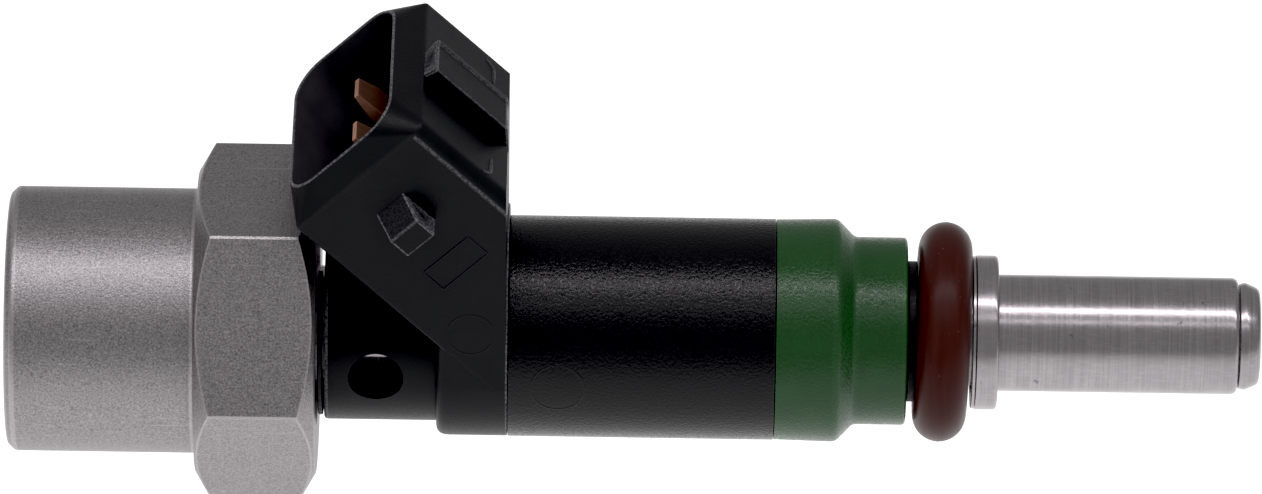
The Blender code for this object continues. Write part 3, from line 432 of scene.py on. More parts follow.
def windingFinish():
    finish = Finish("enamelledWire", (0.4, 0.15, 0.06), 0.35, 1.0)
    turns = finish.node("TexWave", {"bands_direction": "X"}, {"Vector": finish.place, "Scale": 1.1}, "Fac")
    finish.set("Base Color", finish.blend(turns, (0.16, 0.05, 0.02), (0.5, 0.2, 0.09)))
    finish.relief(turns, 0.1)
    return finish.material


def matteFinish(name, colour, roughness):
    finish = Finish(name, colour, roughness)
    cloud = finish.noise(1.5, detail=4)
    finish.set("Base Color", finish.blend(cloud, shade(colour, 0.75), shade(colour, 1.25)))
    finish.set("Roughness", cloud * 0.2 + (roughness - 0.1))
    finish.relief(finish.noise(9.0), 0.006)
    return finish.material


finishes = {
    "blasted_steel": blastedSteelFinish(),
    "turned_steel": turnedSteelFinish(),
    # The smooth black nylon's pale edge colour is mostly painted highlight on its rims and rounded edges,
    # together with edge wear.
    "smooth_black_nylon": plasticFinish("smoothBlackNylon", {
        "colour": (0.0125, 0.013, 0.0132), "roughness": 0.38, "specular": 0.2, "grain": 7.0, "depth": 0.004,
        "fleck": 0.25, "fleckColour": (0.014, 0.014, 0.016), "spread": 0.1, "edge": 1.0,
        "edgeColour": (0.17, 0.17, 0.18), "socketPaintedLightColour": (0.07, 0.07, 0.074)}),   # painted light on the socket's inner walls
    "grained_black_nylon": plasticFinish("grainedBlackNylon", {
        "colour": (0.0068, 0.007, 0.007), "roughness": 0.2, "specular": 0.33, "grain": 5.5, "depth": 0.011,
        "fleck": 0.15, "fleckColour": (0.012, 0.012, 0.014), "spread": 0.22, "edge": 0.3,
        "edgeColour": (0.03, 0.03, 0.03)}),
    "green_nylon": plasticFinish("greenNylon", {
        "colour": (0.0195, 0.07, 0.0205), "roughness": 0.24, "specular": 0.4, "grain": 5.5, "depth": 0.0095,
        "fleck": 0.25, "fleckColour": (0.03, 0.085, 0.032), "spread": 0.2, "edge": 0.25,
        "edgeColour": (0.04, 0.12, 0.045)}),
    "black_plastic": plasticFinish("blackPlastic", {
        "colour": (0.012, 0.012, 0.012), "roughness": 0.5, "specular": 0.4, "grain": 6.0, "depth": 0.005,
        "fleck": 0.2, "fleckColour": (0.03, 0.03, 0.03), "spread": 0.15, "edge": 0.3,
        "edgeColour": (0.04, 0.04, 0.04)}),
    "brown_rubber": rubberFinish("brownRubber", (0.058, 0.0185, 0.0145), 0.34),
    "black_rubber": rubberFinish("blackRubber", (0.015, 0.015, 0.015), 0.5),
    "copper_alloy": metalFinish("copperAlloy", (0.47, 0.26, 0.185), 0.42, (0.5, 1, 0.5), metallic=0.75),
    "black_spring_steel": metalFinish("blackSpringSteel", (0.03,) * 3, 0.5, metallic=0.6, depth=0.02),
    "magnetic_steel": metalFinish("magneticSteel", (0.25, 0.25, 0.26), 0.5),
    "brown_nylon": matteFinish("brownNylon", (0.2, 0.13, 0.07), 0.5),
    "enamelled_wire": windingFinish(),
}
print("stage: finishes made,", len(finishes))

adapter = {
    "collarLength": 12.45,
    "collarRadius": 8.75,
    "mouthChamfer": 0.5,
    "acrossFlats": 20.5,
    "cornerRadius": 11.78,   # the hexagon's corners are turned down to this
    "faceInset": 0.3,        # how far the round end faces stop short of the flats
    "chamferAngle": 30,
    "flatAngle": 32.7,       # the flat on the viewer's side faces this way
    "threadCore": 6.19,
    "threadDepth": 0.72,
    "threadPitch": 1.5,
    "threadLength": 9.5,
    "threadRows": 88,
    "runOut": 1.2,           # the thread grows shallow over its last stretch
    "leadIn": 0.8,
    "webEnd": 12.0,
    "passageRadius": 2.5,
    "cupRadius": 6.75,
}


def hexagonColumns(size, perFlat=22):
    # Angles round the hexagon, closer together at its corners, and the hexagon's radius at each: half its
    # width over the cosine of the angle from the flat's middle, and no more than the turned corner.
    flat = size["acrossFlats"] / 2
    edge = math.degrees(math.acos(flat / size["cornerRadius"]))
    inner = np.linspace(-edge + 0.9, edge - 0.9, perFlat)
    start, end = [-30, -edge - 0.15, -edge, -edge + 0.25], [edge - 0.25, edge, edge + 0.15]
    local = np.concatenate([start, inner, end])
    turns = 60 * np.arange(6)[:, None]
    angle = np.radians((size["flatAngle"] + local + turns).reshape(-1))
    radius = np.tile(np.minimum(flat / np.cos(np.radians(local)), size["cornerRadius"]), 6)
    corner = np.tile(np.abs(local) > edge - 0.1, 6)
    return angle, radius, corner.astype(float)


def adapterPiece(size):
    # Rings of points round the axis, each with its own x and a radius that is a circle's or, on the
    # hexagon, the hexagon's: up the outside, back through the cup and the web, and out along the thread.
    low, high = boxOf("inlet_adapter")
    start, hexStart, hexEnd = low[0], low[0] + size["collarLength"], high[0]
    angle, hexRadius, corner = hexagonColumns(size)
    face = size["acrossFlats"] / 2 - size["faceInset"]
    slope = math.tan(math.radians(size["chamferAngle"]))
    fall = (hexRadius - face) * slope   # the cone of the chamfer meets the hexagon this far in
    mouth = size["threadCore"] + size["leadIn"]
    keys = [
        (start, mouth, 0.12),
        (start, size["collarRadius"] - size["mouthChamfer"], 0.18),
        (start + size["mouthChamfer"], size["collarRadius"], 0.18),
        (hexStart, size["collarRadius"], 0.25),
        (hexStart, face, 0.05),
        (hexStart + fall, hexRadius, 0.07),
        (hexEnd - fall, hexRadius, 0.07),
        (hexEnd, face, 0.05),
        (hexEnd, size["cupRadius"], 0.15),
        (start + size["webEnd"], size["cupRadius"], 0.1),
        (start + size["webEnd"], size["passageRadius"], 0.1),
        (start + size["threadLength"], size["passageRadius"], 0.1),
        (start + size["threadLength"], size["threadCore"] + 0.2, 0.1),
    ]
    lines = np.stack([around(x, radius, angle) for x, radius, _ in keys])
    rows, wearAndSheen = roundedRows(lines, [bend for *_, bend in keys], 0.6)
    # the thread's depth rises and falls in straight flanks once each pitch, and a turn shifts it by a pitch
    x = np.linspace(start + size["threadLength"] - 0.15, start + 0.1, size["threadRows"])[:, None]
    phase = (x - start) / size["threadPitch"] - angle / fullTurn
    flank = np.clip(1.35 * (1 - np.abs(2 * (phase % 1) - 1)) - 0.15, 0, 1)
    runOut = np.clip((start + size["threadLength"] - x) / size["runOut"], 0, 1)
    cone = mouth - (x - start)
    radius = np.maximum(size["threadCore"] + size["threadDepth"] * flank * runOut, cone)
    rows = np.concatenate([rows, around(x, radius, angle)])
    wearAndSheen = np.concatenate([wearAndSheen, np.zeros(len(x))])
    # The hexagon's corners join the bends in the lighter edge share: edge wear and painted edge highlight.
    isHex = np.abs(np.linalg.norm(rows[..., 1:], axis=-1) - hexRadius) < 0.02
    shown = np.maximum(wearAndSheen[:, None], isHex * corner)
    return skinPiece("adapterBody", rows, "blasted_steel", "swivel_adapter", ["inlet_adapter"],
                     closedRows=True, wearAndSheen=shown, sharp=25)


adapterPiece(adapter)

clip = {"innerRadius": 4.1, "opening": 110, "direction": 124, "edge": 0.06, "ragged": 0.035, "steps": 150}


def clipPiece(size):
    # A small oblong section carried round the axis, from one side of the opening to the other.
    low, high = boxOf("retaining_clip")
    outer, inner = max(high[2], -low[2]), size["innerRadius"]
    half = size["opening"] / 2
    turn = np.linspace(half, 360 - half, size["steps"])[:, None]
    angle = np.radians(size["direction"] + turn)
    section = oblongOutline((high[0] - low[0]) / 2, (outer - inner) / 2, [size["edge"]] * 4, 3, 4)
    # three sines of unlike lengths move the outer edge in and out
    rough = size["ragged"] * (np.sin(23 * angle) + np.sin(57 * angle + 1) + np.sin(91 * angle + 2)) / 3
    middle = (high[0] + low[0]) / 2
    radius = (outer + inner) / 2 + section[:, 1] + rough * (section[:, 1] > 0) - size["ragged"]
    grid = around(middle + section[:, 0], radius, angle)
    poles = [grid[0].mean(axis=0), grid[-1].mean(axis=0)]
    return skinPiece("clipRing", grid, "black_spring_steel", stands=["retaining_clip"], poles=poles)


clipPiece(clip)
print("stage: adapter and clip made")

housing = {
    "neckRadius": 6.35,
    "neckEdge": 0.25,
    "neckLength": 7.4,
    "boreRadius": 4.1,
    "crossHoleRadius": 1.8,
    "crossHoleSetback": 3.45,
    "ringRadius": 7.29,
    "ringCorner": 0.85,
    "ringLength": 4.56,
    "seam": 0.02,            # half the fine gap that shows between ring and barrel
}
plug = {
    "angle": 45,
    "crossing": 7.08,        # the plug's axis meets the injector's this far past the ring
    "reach": 25.42,
    "halfWidth": 7.36,
    "halfThickness": 5.77,
    "openingWide": 6.74,
    "openingTall": 4.5,
    "openingCorner": 2.2,
    "rim": 0.165,
    "rimEdge": 0.06,
    "draft": 0.12,           # the socket is this much narrower at its floor
    "bevelLength": 1.9,
    "socketDepth": 8.7,
    "floorRound": 0.5,
    "nearCorner": 0.9,       # the long edge between the high face and the viewer's side is rounder
    "corner": 0.25,
}
barrelGap = 0.3              # between the CAD solids; here each side reaches over half of it
ringEnd = boxOf("barrel_sleeve")[0][0] - barrelGap
neckStart = ringEnd - housing["ringLength"] - housing["neckLength"]
lean = math.radians(plug["angle"])


def plugPoint(depth, across, y):
    # Depth runs down from the mouth along the leaning axis and across runs square to it, towards the high
    # face: x and z are the two turned by the lean, from where the plug's axis meets the injector's.
    depth, across, y = np.broadcast_arrays(depth, across, y)
    out = plug["reach"] - depth
    x = ringEnd + plug["crossing"] - out * math.cos(lean) + across * math.sin(lean)
    return np.stack([x, y, out * math.sin(lean) + across * math.cos(lean)], axis=-1)


def depthAtX(across, x):
    # The depth at which a line down the plug reaches x: its way along X over the cosine of the lean.
    return (x - plugPoint(0, across, 0)[..., 0]) / math.cos(lean)


def depthAtAxis(across):
    # The depth at which a line down the plug reaches the injector's axis: its height over the lean's sine.
    return plugPoint(0, across, 0)[..., 2] / math.sin(lean)


def drilled(piece, radius, x, sides=96):
    # A round hole along Y, cut with a rod: a circle carried from end to end, well past the piece. It is
    # turned half a side, so that no corner of it meets one of the piece's.
    angle = (np.arange(sides) + 0.5) * fullTurn / sides
    ends = np.array([-12.0, 12.0])[:, None]
    grid = np.stack(np.broadcast_arrays(x + radius * np.cos(angle), ends, radius * np.sin(angle)), axis=-1)
    middles = [(x, end, 0) for end in ends[:, 0]]
    rod = bpy.data.objects.new("rod", closedMesh("rod", grid, poles=middles))
    bpy.context.scene.collection.objects.link(rod)
    hole = piece.modifiers.new("hole", "BOOLEAN")
    hole.operation = "DIFFERENCE"
    hole.solver = "EXACT"
    hole.object = rod
    bpy.context.view_layer.update()
    graph = bpy.context.evaluated_depsgraph_get()
    mesh = bpy.data.meshes.new_from_object(piece.evaluated_get(graph))
    piece.modifiers.remove(hole)
    piece.data = mesh
    mesh.shade_smooth()
    mesh.set_sharp_from_angle(angle=math.radians(sharpAngle))
    bpy.data.objects.remove(rod)


def neckPiece(size):
    # A turned tube from the clip's slit to inside the ring, with a round hole across it.
    profile = [
        (neckStart, size["boreRadius"], 0.1),
        (neckStart, size["neckRadius"], size["neckEdge"]),
        (ringEnd - size["ringLength"] + 0.4, size["neckRadius"], 0),   # from here on inside the ring
        (ringEnd - 0.5, size["neckRadius"] - 0.3, 0),
        (ringEnd - 0.5, size["boreRadius"], 0),
    ]
    piece = turnedPiece("housingNeck", profile, "smooth_black_nylon", columns=224, spacing=0.4,
                        stands=["connector_housing"])
    drilled(piece, size["crossHoleRadius"], neckStart + size["crossHoleSetback"])
    return piece


def ringPiece(size):
    # A closed section carried round the axis. Its outer radius is the ring's below the axis and eases out
    # to the plug's half width. Above the axis it is that half width over the cosine, so that the sides go
    # straight up, flush with the plug's, and no further than a point hidden inside the plug.
    angle = np.radians(np.linspace(-180, 180, 288, endpoint=False))
    side = plug["halfWidth"] - 0.01
    shoulder = size["ringLength"] - (plug["halfThickness"] / math.sin(lean) - plug["crossing"])
    corner = math.hypot(side, shoulder)
    level = np.abs(np.cos(angle)).clip(min=0.2)
    upper = np.minimum(side / level, corner - 0.04)
    share = np.clip((np.sin(angle) + 0.3) / 0.3, 0, 1)
    outer = np.where(np.sin(angle) > 0, upper, size["ringRadius"] + (side - size["ringRadius"]) * share**2)
    start, end = ringEnd - size["ringLength"], ringEnd + barrelGap / 2 - size["seam"]
    inner = size["neckRadius"] - 0.6
    keys = [(start, inner, 0), (start, outer, size["ringCorner"]), (end, outer, 0.08), (end, inner, 0)]
    lines = np.stack([around(x, radius, angle) for x, radius, _ in keys])
    rows, wearAndSheen = roundedRows(lines, [bend for *_, bend in keys], 0.5, closed=True, steps=8)
    shown = wearAndSheen * (rows[:, 0, 0] > end - 0.3)
    return skinPiece("housingRing", rows, "smooth_black_nylon", closedRows=True, wearAndSheen=shown[:, None])


def shroudPiece(size):
    # One closed skin: from the middle of the socket's floor up its inner wall, over the thin rim, down the
    # bevel and the outer wall, and across the end, which is cut level with the ring and the axis.
    tall, wide, corner = size["openingTall"], size["openingWide"], size["openingCorner"]
    rim, draft, edge = size["rim"], size["draft"], size["rimEdge"]
    corners = [size["corner"]] * 3 + [size["nearCorner"]]
    floor = oblongOutline(tall - draft, wide - draft, [corner] * 4)
    opening = oblongOutline(tall, wide, [corner] * 4)
    outside = oblongOutline(tall + rim, wide + rim, [corner + rim] * 4)
    body = oblongOutline(size["halfThickness"], size["halfWidth"], corners)
    end = np.minimum(depthAtX(body[:, 0], ringEnd), depthAtAxis(body[:, 0]))
    keys = np.stack([
        plugPoint(size["socketDepth"], *(floor * 0.9).T),
        plugPoint(size["socketDepth"], *floor.T),
        plugPoint(edge, *opening.T),
        plugPoint(0, *((opening + outside) / 2).T),
        plugPoint(edge, *outside.T),
        plugPoint(size["bevelLength"], *body.T),
        plugPoint(end, *body.T),
    ])
    rows, wearAndSheen = roundedRows(keys, [0, size["floorRound"], 0.05, 0.05, 0.05, 0.16, 0], 0.6)
    mouth = plugPoint(0, 0, 0)
    depth = ((rows - mouth) @ (plugPoint(1, 0, 0) - mouth)).mean(axis=1)
    # The bends are lightened most at the mouth and fade with depth into the socket: edge wear, and painted
    # highlight along the rim.
    shown = np.repeat((wearAndSheen * np.clip(1.2 - depth, 0.03, 1))[:, None], len(body), axis=1)
    # below the bevel one line of points on each long edge of the viewer's side gets a painted highlight,
    # standing in for the floor's reflection on the rounded edge
    quarter = len(body) // 4
    inside = np.arange(len(depth)) < np.argmin(depth)
    below = ~inside & (depth > size["bevelLength"]) & (wearAndSheen == 0)
    shown[below, 3 * quarter] = 0.8
    shown[below, 2 * quarter + 2] = 0.5
    poles = [plugPoint(size["socketDepth"], 0, 0), np.array([ringEnd, 0, 0])]
    piece = skinPiece("plugShroud", rows, "smooth_black_nylon", poles=poles, wearAndSheen=shown, sharp=30)
    socketPaintedLight = np.zeros(len(piece.data.vertices), np.float32)
    socketPaintedLight[: rows[..., 0].size] = np.repeat(inside, len(body))   # painted light on the socket's walls
    piece.data.attributes.new("socketPaintedLight", "FLOAT", "POINT").data.foreach_set("value", socketPaintedLight)
    return piece


key = {"halfWidth": 1.7, "baseHalf": 1.15, "height": 1.2, "lip": 0.45, "ridge": 0.3, "step": 0.09,
       "setback": 1.9, "edge": 0.07, "bevel": 0.12, "sunk": 0.5}


def keyPiece(size):
    # A rail on the high face, narrower at its foot, with a narrow ridge along the far side of its top: one
    # outline of (height, width) corners carried down the plug.
    w, h, top = size["halfWidth"], size["height"], size["height"] - size["step"]
    lip, foot, edge = h - size["lip"], size["baseHalf"], size["edge"]
    ridge, sunk = w - size["ridge"], size["sunk"]
    points = np.array([
        (-sunk, foot, 0),
        (lip, w, 0.1),
        (h, w, edge),
        (h, ridge, 0.04),
        (top, ridge - 0.06, 0.04),
        (top, -w, edge),
        (lip, -w, 0.1),
        (-sunk, -foot, 0),
    ])
    line, wearAndSheenShare = roundedRows(points[:, None, :2], points[:, 2], 0.4, closed=True, steps=3)
    outline = line[:, 0] + np.array([plug["halfThickness"], 0])
    high = depthAtX(outline[:, 0], ringEnd)
    # Only the top edges keep their share: painted highlight along the rail's lit top edges, with edge wear.
    wearAndSheenShare = wearAndSheenShare * (line[:, 0, 0] > lip + 0.2)
    return prismPiece("plugKey", outline, size["setback"], high, plugPoint, size["bevel"],
                      "smooth_black_nylon", wearAndSheenShare=0.6 * wearAndSheenShare)


latch = {"setback": 4.72, "ramp": 1.35, "land": 1.6, "height": 1.7, "halfWidth": 1.25, "edge": 0.07,
         "lead": 0.2, "sunk": 0.25, "rampPaintedSheen": 0.2}


def latchPiece(size, side, name):
    # An outline of a ramp and a land, in depth and height above the side face, carried across the face.
    start, foot, height = size["setback"] - size["lead"], -size["sunk"], size["height"]
    land = size["setback"] + size["ramp"]
    end = land + size["land"]
    points = np.array([(start, foot), (land, height), (end, height), (end, foot)])
    line, wearAndSheenShare = roundedRows(points[:, None], [0, size["edge"], size["edge"], 0], 0.3, closed=True, steps=3)
    # The ramp's face gets a painted sheen, on top of the edges' wear and painted highlight.
    ramp = (line[:, 0, 0] < land - size["edge"]) & (line[:, 0, 1] > 0.1)
    wearAndSheenShare = np.maximum(wearAndSheenShare, size["rampPaintedSheen"] * ramp)

    def place(across, depth, height):
        return plugPoint(depth, across, side * (plug["halfWidth"] + height))

    return prismPiece(name, line[:, 0], -size["halfWidth"], size["halfWidth"], place, size["edge"],
                      "smooth_black_nylon", wearAndSheenShare=0.6 * wearAndSheenShare)


marks = {"frame": (11.0, -0.2, 0.92, 2.04), "lineWidth": 0.14, "lineHeight": 0.045, "frameCorner": 0.12,
         "pinDepth": 15.72, "pinAcross": -3.53, "pinRadius": 1.55, "pinWidth": 0.12, "pinHeight": 0.02}


def sideMarks(size):
    # Fine raised lines: a plain oblong frame on the viewer's side, and an ejector pin's circle on both.
    depth, across, halfDepth, halfAcross = size["frame"]
    outline = oblongOutline(halfDepth, halfAcross, [size["frameCorner"]] * 4, 4, 6)
    path = plugPoint(depth + outline[:, 0], across + outline[:, 1], -plug["halfWidth"])
    normal = np.array([0.0, -1.0, 0.0])
    raisedLine("plugFrame", path, normal, size["lineWidth"], size["lineHeight"], "smooth_black_nylon")
    a, b = circlePath(size["pinRadius"])
    for side, name in ((-1, "plugPinNear"), (1, "plugPinFar")):
        path = plugPoint(size["pinDepth"] + a, size["pinAcross"] + b, side * plug["halfWidth"])
        raisedLine(name, path, -side * normal, size["pinWidth"], size["pinHeight"], "smooth_black_nylon")


curl = {"depth": 7.3, "outer": 6.5, "inner": 4.3, "hook": 0.85, "width": 0.3, "height": 0.09}


def curlPiece(size, side, name):
    # A short rib that hooks forward at its outer end: a straight run, then a quarter circle, and an
    # ellipse carried along them that shrinks at both ends.
    turn = np.linspace(0, math.pi / 2, 12)[1:]
    bendStart = size["outer"] - size["hook"]
    y = np.concatenate([np.linspace(size["inner"], bendStart, 10), bendStart + size["hook"] * np.sin(turn)])
    forward = np.concatenate([np.zeros(10), size["hook"] * (1 - np.cos(turn))])
    path = plugPoint(size["depth"] + size["hook"] - forward, plug["halfThickness"], side * y)
    along = np.gradient(path, axis=0)
    normal = np.array([math.sin(lean), 0, math.cos(lean)])
    across = np.cross(normal, along)
    across /= np.linalg.norm(across, axis=-1, keepdims=True)
    s = np.linspace(0, fullTurn, 16, endpoint=False)[:, None]
    swell = np.sqrt(np.clip(1 - np.linspace(-1, 1, len(path)) ** 4, 0.02, 1))[:, None, None]
    ellipse = across[:, None] * size["width"] / 2 * np.cos(s) + normal * size["height"] * np.sin(s)
    # The whole rib is lightened in colour: painted highlight on its lit sides.
    return skinPiece(name, path[:, None] + swell * ellipse, "smooth_black_nylon",
                     poles=[path[0], path[-1]], wearAndSheen=0.35)


neckPiece(housing)
ringPiece(housing)
shroudPiece(plug)
keyPiece(key)
for side, name in ((-1, "plugLatchNear"), (1, "plugLatchFar")):
    latchPiece(latch, side, name)
for side, name in ((-1, "plugCurlNear"), (1, "plugCurlFar")):
    curlPiece(curl, side, name)
sideMarks(marks)
print("stage: connector housing made")

blade = {"width": 2.8, "thickness": 0.8, "pitch": 5.0, "setback": 1.3, "taper": 1.6, "tipWidth": 2.0,
         "tipThickness": 0.35, "root": 9.7, "tailWidth": 1.6, "tailThickness": 0.5, "bend": 10.7,
         "tailHeight": 4.9, "coilGap": 0.4}


def bladePiece(size, side, node, name):
    # A rounded rectangle carried from the tip down the blade, round a bend and along the axis to the
    # coil. Width and thickness swell over the taper and shrink to the tail's below the socket's floor.
    tip, root = plugPoint(size["setback"], 0, 0), plugPoint(size["root"], 0, 0)
    bend = plugPoint(size["bend"], 0, 0)
    low = np.array([bend[0], 0, size["tailHeight"]])
    coil = np.array([boxOf("coil_bobbin")[0][0] - size["coilGap"], 0, size["tailHeight"]])
    keys = np.stack([tip, root, bend, low, coil])[:, None]
    line, _ = roundedRows(keys, [0, 0, 0.5, 0.7, 0], 0.35, steps=6)
    path = line[:, 0]
    length = np.concatenate([[0], np.cumsum(np.linalg.norm(np.diff(path, axis=0), axis=-1))])
    whole = size["root"] - size["setback"]
    stops = [0, size["taper"], whole - 0.1, whole + 0.2]
    widths = [size[part] for part in ("tipWidth", "width", "width", "tailWidth")]
    thicknesses = [size[part] for part in ("tipThickness", "thickness", "thickness", "tailThickness")]
    wide = np.interp(length, stops, widths)
    thick = np.interp(length, stops, thicknesses)
    along = np.gradient(path, length, axis=0)
    along /= np.linalg.norm(along, axis=-1, keepdims=True)
    normal = np.stack([-along[:, 2], np.zeros(len(path)), along[:, 0]], axis=-1)
    unit = oblongOutline(1, 1, [0.16] * 4, 3, 3)
    sideways = np.array([0, 1.0, 0])
    grid = (path[:, None] + sideways * side * size["pitch"] / 2
            + normal[:, None] * (unit[:, 0] * thick[:, None] / 2)[..., None]
            + sideways * (unit[:, 1] * wide[:, None] / 2)[..., None])
    poles = [grid[0].mean(axis=0), grid[-1].mean(axis=0)]
    wearAndSheenShare = (np.abs(unit).min(axis=-1) > 0.85) | (length < 0.05)[:, None]   # the long edges and the tip are lighter: edge wear and painted edge highlight
    return skinPiece(name, grid, "copper_alloy", stands=[node], poles=poles, wearAndSheen=wearAndSheenShare, sharp=25)


for side, node, name in ((-1, "terminal_left", "bladeNear"), (1, "terminal_right", "bladeFar")):
    bladePiece(blade, side, node, name)
print("stage: terminals made")

barrel = {"radius": 7.31, "bore": 6.61, "edge": 0.07, "markX": 3.27, "markAngle": 0.6, "markRadius": 1.76,
          "markWidth": 0.13, "markHeight": 0.02}
lower = {"startStep": 0.03, "endStep": 0.07, "large": 3.92, "chamfer": 1.15, "smallStep": 1.11, "bore": 3.8}


def barrelPiece(size):
    # A turned sleeve that reaches over half of both gaps, and the fine raised circle of a mould pin on it:
    # a circle laid flat and then bent round the sleeve.
    low, high = boxOf("barrel_sleeve")
    reach = barrelGap / 2 - housing["seam"]
    start, end = low[0] - reach, high[0] + reach
    profile = [
        (start, size["radius"], size["edge"]),
        (end, size["radius"], size["edge"]),
        (end, size["bore"], 0),
        (start, size["bore"], 0),
    ]
    turnedPiece("barrelSleeve", profile, "grained_black_nylon", columns=288, stands=["barrel_sleeve"])
    a, c = circlePath(size["markRadius"])
    angle = math.radians(size["markAngle"]) + c / size["radius"]
    path = around(start + size["markX"] + a, size["radius"], angle)
    normal = around(0, 1.0, angle)
    raisedLine("barrelMark", path, normal, size["markWidth"], size["markHeight"], "grained_black_nylon")


def lowerPiece(size):
    # A turned body: a large part that swells a little, a chamfer, and a smaller end.
    low, high = boxOf("lower_body")
    start, end, radius = low[0] - barrelGap / 2 + housing["seam"], high[0], barrel["radius"]
    step = low[0] + size["large"]
    profile = [
        (start, radius - size["startStep"], 0.05),
        (step, radius + size["endStep"], 0.3),
        (step + size["chamfer"], radius - size["smallStep"], 0.25),
        (end, radius - size["smallStep"], 0.3),
        (end, size["bore"], 0.1),
        (start, size["bore"], 0),
    ]
    return turnedPiece("lowerBody", profile, "green_nylon", columns=288, spacing=0.4, stands=["lower_body"])


spacer = {"reach": 0.1, "bore": 3.8, "startEdge": 0.08, "endEdge": 0.15, "boreEdge": 0.05}


def spacerPiece(size):
    # A turned ring that reaches most of the way to the green body.
    low, high = boxOf("o_ring_spacer")
    start, end, radius = low[0] - size["reach"], high[0], high[2]
    profile = [
        (start, radius, size["startEdge"]),
        (end, radius, size["endEdge"]),
        (end, size["bore"], size["boreEdge"]),
        (start, size["bore"], 0),
    ]
    return turnedPiece("spacerRing", profile, "black_plastic", columns=160, spacing=0.2,
                       stands=["o_ring_spacer"])


oRing = {"flash": 0.025, "flashWidth": 0.04, "tilt": -1.5}


def oRingPiece(size):
    # A circle carried round the axis, whose radius swells like a bell curve at the mould line round the
    # outside. The ring is then turned about the viewer's direction, because it sits a little askew.
    low, high = boxOf("nozzle_o_ring")
    section, outer = (high[0] - low[0]) / 2, high[2]
    fine = np.linspace(0, 0.2, 9)   # closer steps at the mould line
    coarse = np.linspace(0.2, fullTurn - 0.2, 90)
    s = np.concatenate([fine[:-1], coarse, fullTurn - fine[-2:0:-1]])[:, None]
    angle = np.arange(288) * fullTurn / 288
    apart = np.minimum(s, fullTurn - s)
    radius = section + size["flash"] * np.exp(-((apart * section / size["flashWidth"]) ** 2))
    grid = around(radius * np.sin(s), outer - section + radius * np.cos(s) - size["flash"], angle)
    rise = math.radians(viewHeight)
    axis = np.array([0, -math.cos(rise), math.sin(rise)])
    turn = math.radians(size["tilt"])
    grid = (grid * math.cos(turn) + np.cross(axis, grid) * math.sin(turn)
            + axis * (grid @ axis)[..., None] * (1 - math.cos(turn)))
    return skinPiece("nozzleORing", grid, "brown_rubber", stands=["nozzle_o_ring"], closedRows=True,
                     sharp=60)


nozzle = {"retainerRadius": 5.1, "retainerBore": 4.0, "tubeRadius": 3.85, "neckRadius": 3.5, "bore": 2.95,
          "tubeHidden": 0.3, "tubeRound": 0.5, "tipRadius": 3.535, "tipCone": 0.9, "tipFall": 0.4,
          "tipBore": 1.3}


def retainerPiece(size):
    # A turned ring with a fine step near its start.
    low, high = boxOf("o_ring_retainer")
    profile = [
        (low[0], size["retainerBore"], 0.05),
        (low[0], size["retainerRadius"] - 0.06, 0.06),
        (low[0] + 0.22, size["retainerRadius"] - 0.06, 0.03),
        (low[0] + 0.3, size["retainerRadius"], 0.05),
        (high[0], size["retainerRadius"], 0.3),
        (high[0], size["retainerBore"], 0.12),
    ]
    return turnedPiece("retainerRing", profile, "turned_steel", spacing=0.25, stands=["o_ring_retainer"])


def tubePiece(size):
    # A turned tube, thinner where it is hidden by the rings, with a round end.
    low, high = boxOf("valve_body")
    start = boxOf("o_ring_retainer")[1][0] - size["tubeHidden"]
    profile = [
        (low[0], size["bore"], 0),
        (low[0], size["neckRadius"], 0.1),
        (start, size["neckRadius"], 0.02),
        (start, size["tubeRadius"], 0.05),
        (high[0], size["tubeRadius"], size["tubeRound"]),
        (high[0], size["bore"], 0.1),
    ]
    return turnedPiece("nozzleTube", profile, "turned_steel", stands=["valve_body"])


def tipPiece(size):
    # A turned cap with a shallow cone to its end face and a bore for the spray.
    low, high = boxOf("nozzle_tip")
    profile = [
        (low[0] - 0.12, size["tipBore"], 0),
        (low[0] - 0.12, size["tipRadius"] - 0.08, 0.05),
        (low[0] + 0.2, size["tipRadius"], 0.1),
        (high[0] - size["tipCone"], size["tipRadius"], 0.3),
        (high[0], size["tipRadius"] - size["tipFall"], 0.3),
        (high[0], size["tipBore"], 0.15),
    ]
    return turnedPiece("nozzleTip", profile, "turned_steel", columns=200, spacing=0.3,
                       stands=["nozzle_tip"])


barrelPiece(barrel)
lowerPiece(lower)
spacerPiece(spacer)
oRingPiece(oRing)
retainerPiece(nozzle)
tubePiece(nozzle)
tipPiece(nozzle)
print("stage: coil body and nozzle made")

# the inner pieces keep their CAD shape and take the finish of their slot
replaced = {node for piece in bpy.data.objects for node in piece.get("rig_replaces", [])}
slots = {part["node"]: part["material_slot"] for part in frame["record"]["subparts"]}
for node, shown in frame["nodes"].items():
    if node not in replaced:
        shown.data.materials.clear()
        shown.data.materials.append(finishes[slots[node]])
print("stage: inner pieces finished,", len(frame["nodes"]) - len(replaced))

studio = {
    "floorHeight": -0.3,
    "floorHalf": 8.0,
    "floorColour": (0.8, 0.8, 0.8),
    "floorGlow": 0.8,
    "floorBounce": (0.74, 0.2),    # towards the object the floor glows less, and least far away
    "floorFades": (500, 3500),
    "roomLight": 0.36,
    "boxes": (  # height angle from the viewer's side, width as an angle, brightness, colour
        (81, 8, 5.6, (1.0, 0.95, 0.99)),
        (58, 5, 1.5, (1.0, 0.95, 0.99)),
        (73, 40, 0.2, (1.0, 0.96, 0.99)),
    ),
    "boxDistance": 0.8,
    "boxLength": 1.6,
}
view = {"distance": 769, "roll": 0.86, "widthAtTarget": 83.5, "targetX": -20.66, "targetUp": 5.3,
        "sensor": 36}


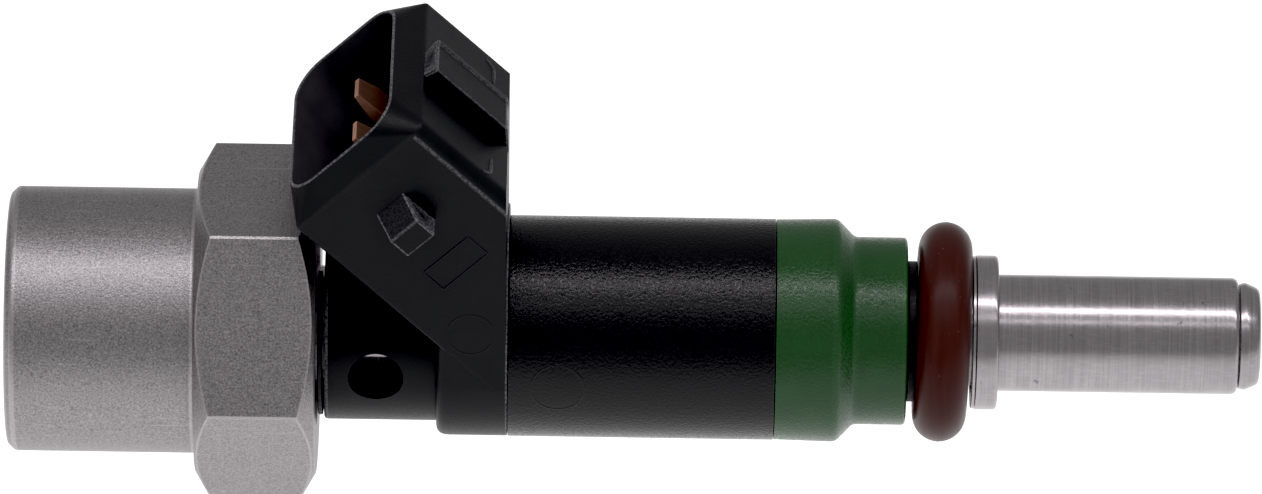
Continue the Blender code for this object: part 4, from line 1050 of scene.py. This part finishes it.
def makeStudio(room):
    world = bpy.context.scene.world or bpy.data.worlds.new("room")
    bpy.context.scene.world = world
    world.use_nodes = True
    world.node_tree.nodes["Background"].inputs["Color"].default_value = (1, 1, 1, 1)
    world.node_tree.nodes["Background"].inputs["Strength"].default_value = room["roomLight"]
    half, height = room["floorHalf"], room["floorHeight"]
    corners = [(x * half, y * half, height) for x, y in ((-1, -1), (1, -1), (1, 1), (-1, 1))]
    mesh = bpy.data.meshes.new("floor")
    mesh.from_pydata(corners, [], [(0, 1, 2, 3)])
    pale = Finish("paleFloor", room["floorColour"], 0.9, specular=0.1)
    apart = pale.node("VectorMath", {"operation": "LENGTH"}, {"Vector": pale.place}, "Value")
    near, far = ((level, level, level) for level in room["floorBounce"])
    bounce = pale.blend(pale.band(apart, *room["floorFades"]), near, far)
    seen = pale.node("LightPath", output="Is Camera Ray")
    pale.set("Emission Color", pale.blend(seen, bounce, (1, 1, 1)))
    pale.set("Emission Strength", room["floorGlow"])
    mesh.materials.append(pale.material)
    floor = bpy.data.objects.new("floor", mesh)
    bpy.context.scene.collection.objects.link(floor)
    for i, (height, spread, brightness, colour) in enumerate(room["boxes"]):
        light = bpy.data.lights.new(f"softbox{i + 1}", "AREA")
        light.shape = "RECTANGLE"
        light.size = room["boxLength"]
        light.size_y = 2 * room["boxDistance"] * math.tan(math.radians(spread / 2))
        light.energy = brightness * math.pi * light.size * light.size_y
        light.color = colour
        lamp = bpy.data.objects.new(light.name, light)
        rise = math.radians(height)
        lamp.location = (-0.02, -room["boxDistance"] * math.cos(rise), room["boxDistance"] * math.sin(rise))
        lamp.rotation_euler = (math.pi / 2 - rise, 0, 0)
        bpy.context.scene.collection.objects.link(lamp)


def aimCamera(shot):
    # The camera looks down at the target from -Y, rolled a little, with a lens that shows the given width
    # there. Turned in ZYX order, it rolls first and is raised after that.
    rise, roll = math.radians(viewHeight), math.radians(shot["roll"])
    up = np.array([0, math.sin(rise), math.cos(rise)])
    back = np.array([0, -math.cos(rise), math.sin(rise)])
    target = np.array([shot["targetX"], 0, 0]) + shot["targetUp"] * up
    camera = bpy.data.cameras.new("camera")
    camera.sensor_width = shot["sensor"]
    camera.lens = shot["sensor"] * shot["distance"] / shot["widthAtTarget"]
    camera.clip_start = 0.05
    camera.clip_end = 30
    eye = bpy.data.objects.new("camera", camera)
    eye.location = (target + shot["distance"] * back) * mm
    eye.rotation_mode = "ZYX"
    eye.rotation_euler = (math.pi / 2 - rise, 0, roll)
    bpy.context.scene.collection.objects.link(eye)
    bpy.context.scene.camera = eye


makeStudio(studio)
aimCamera(view)
display = bpy.context.scene.view_settings
display.view_transform = "Standard"
display.use_curve_mapping = True
display.curve_mapping.black_level = (0.0155, 0.0155, 0.0145)   # deepens the blacks a little
display.curve_mapping.update()
print("stage: studio and camera made")
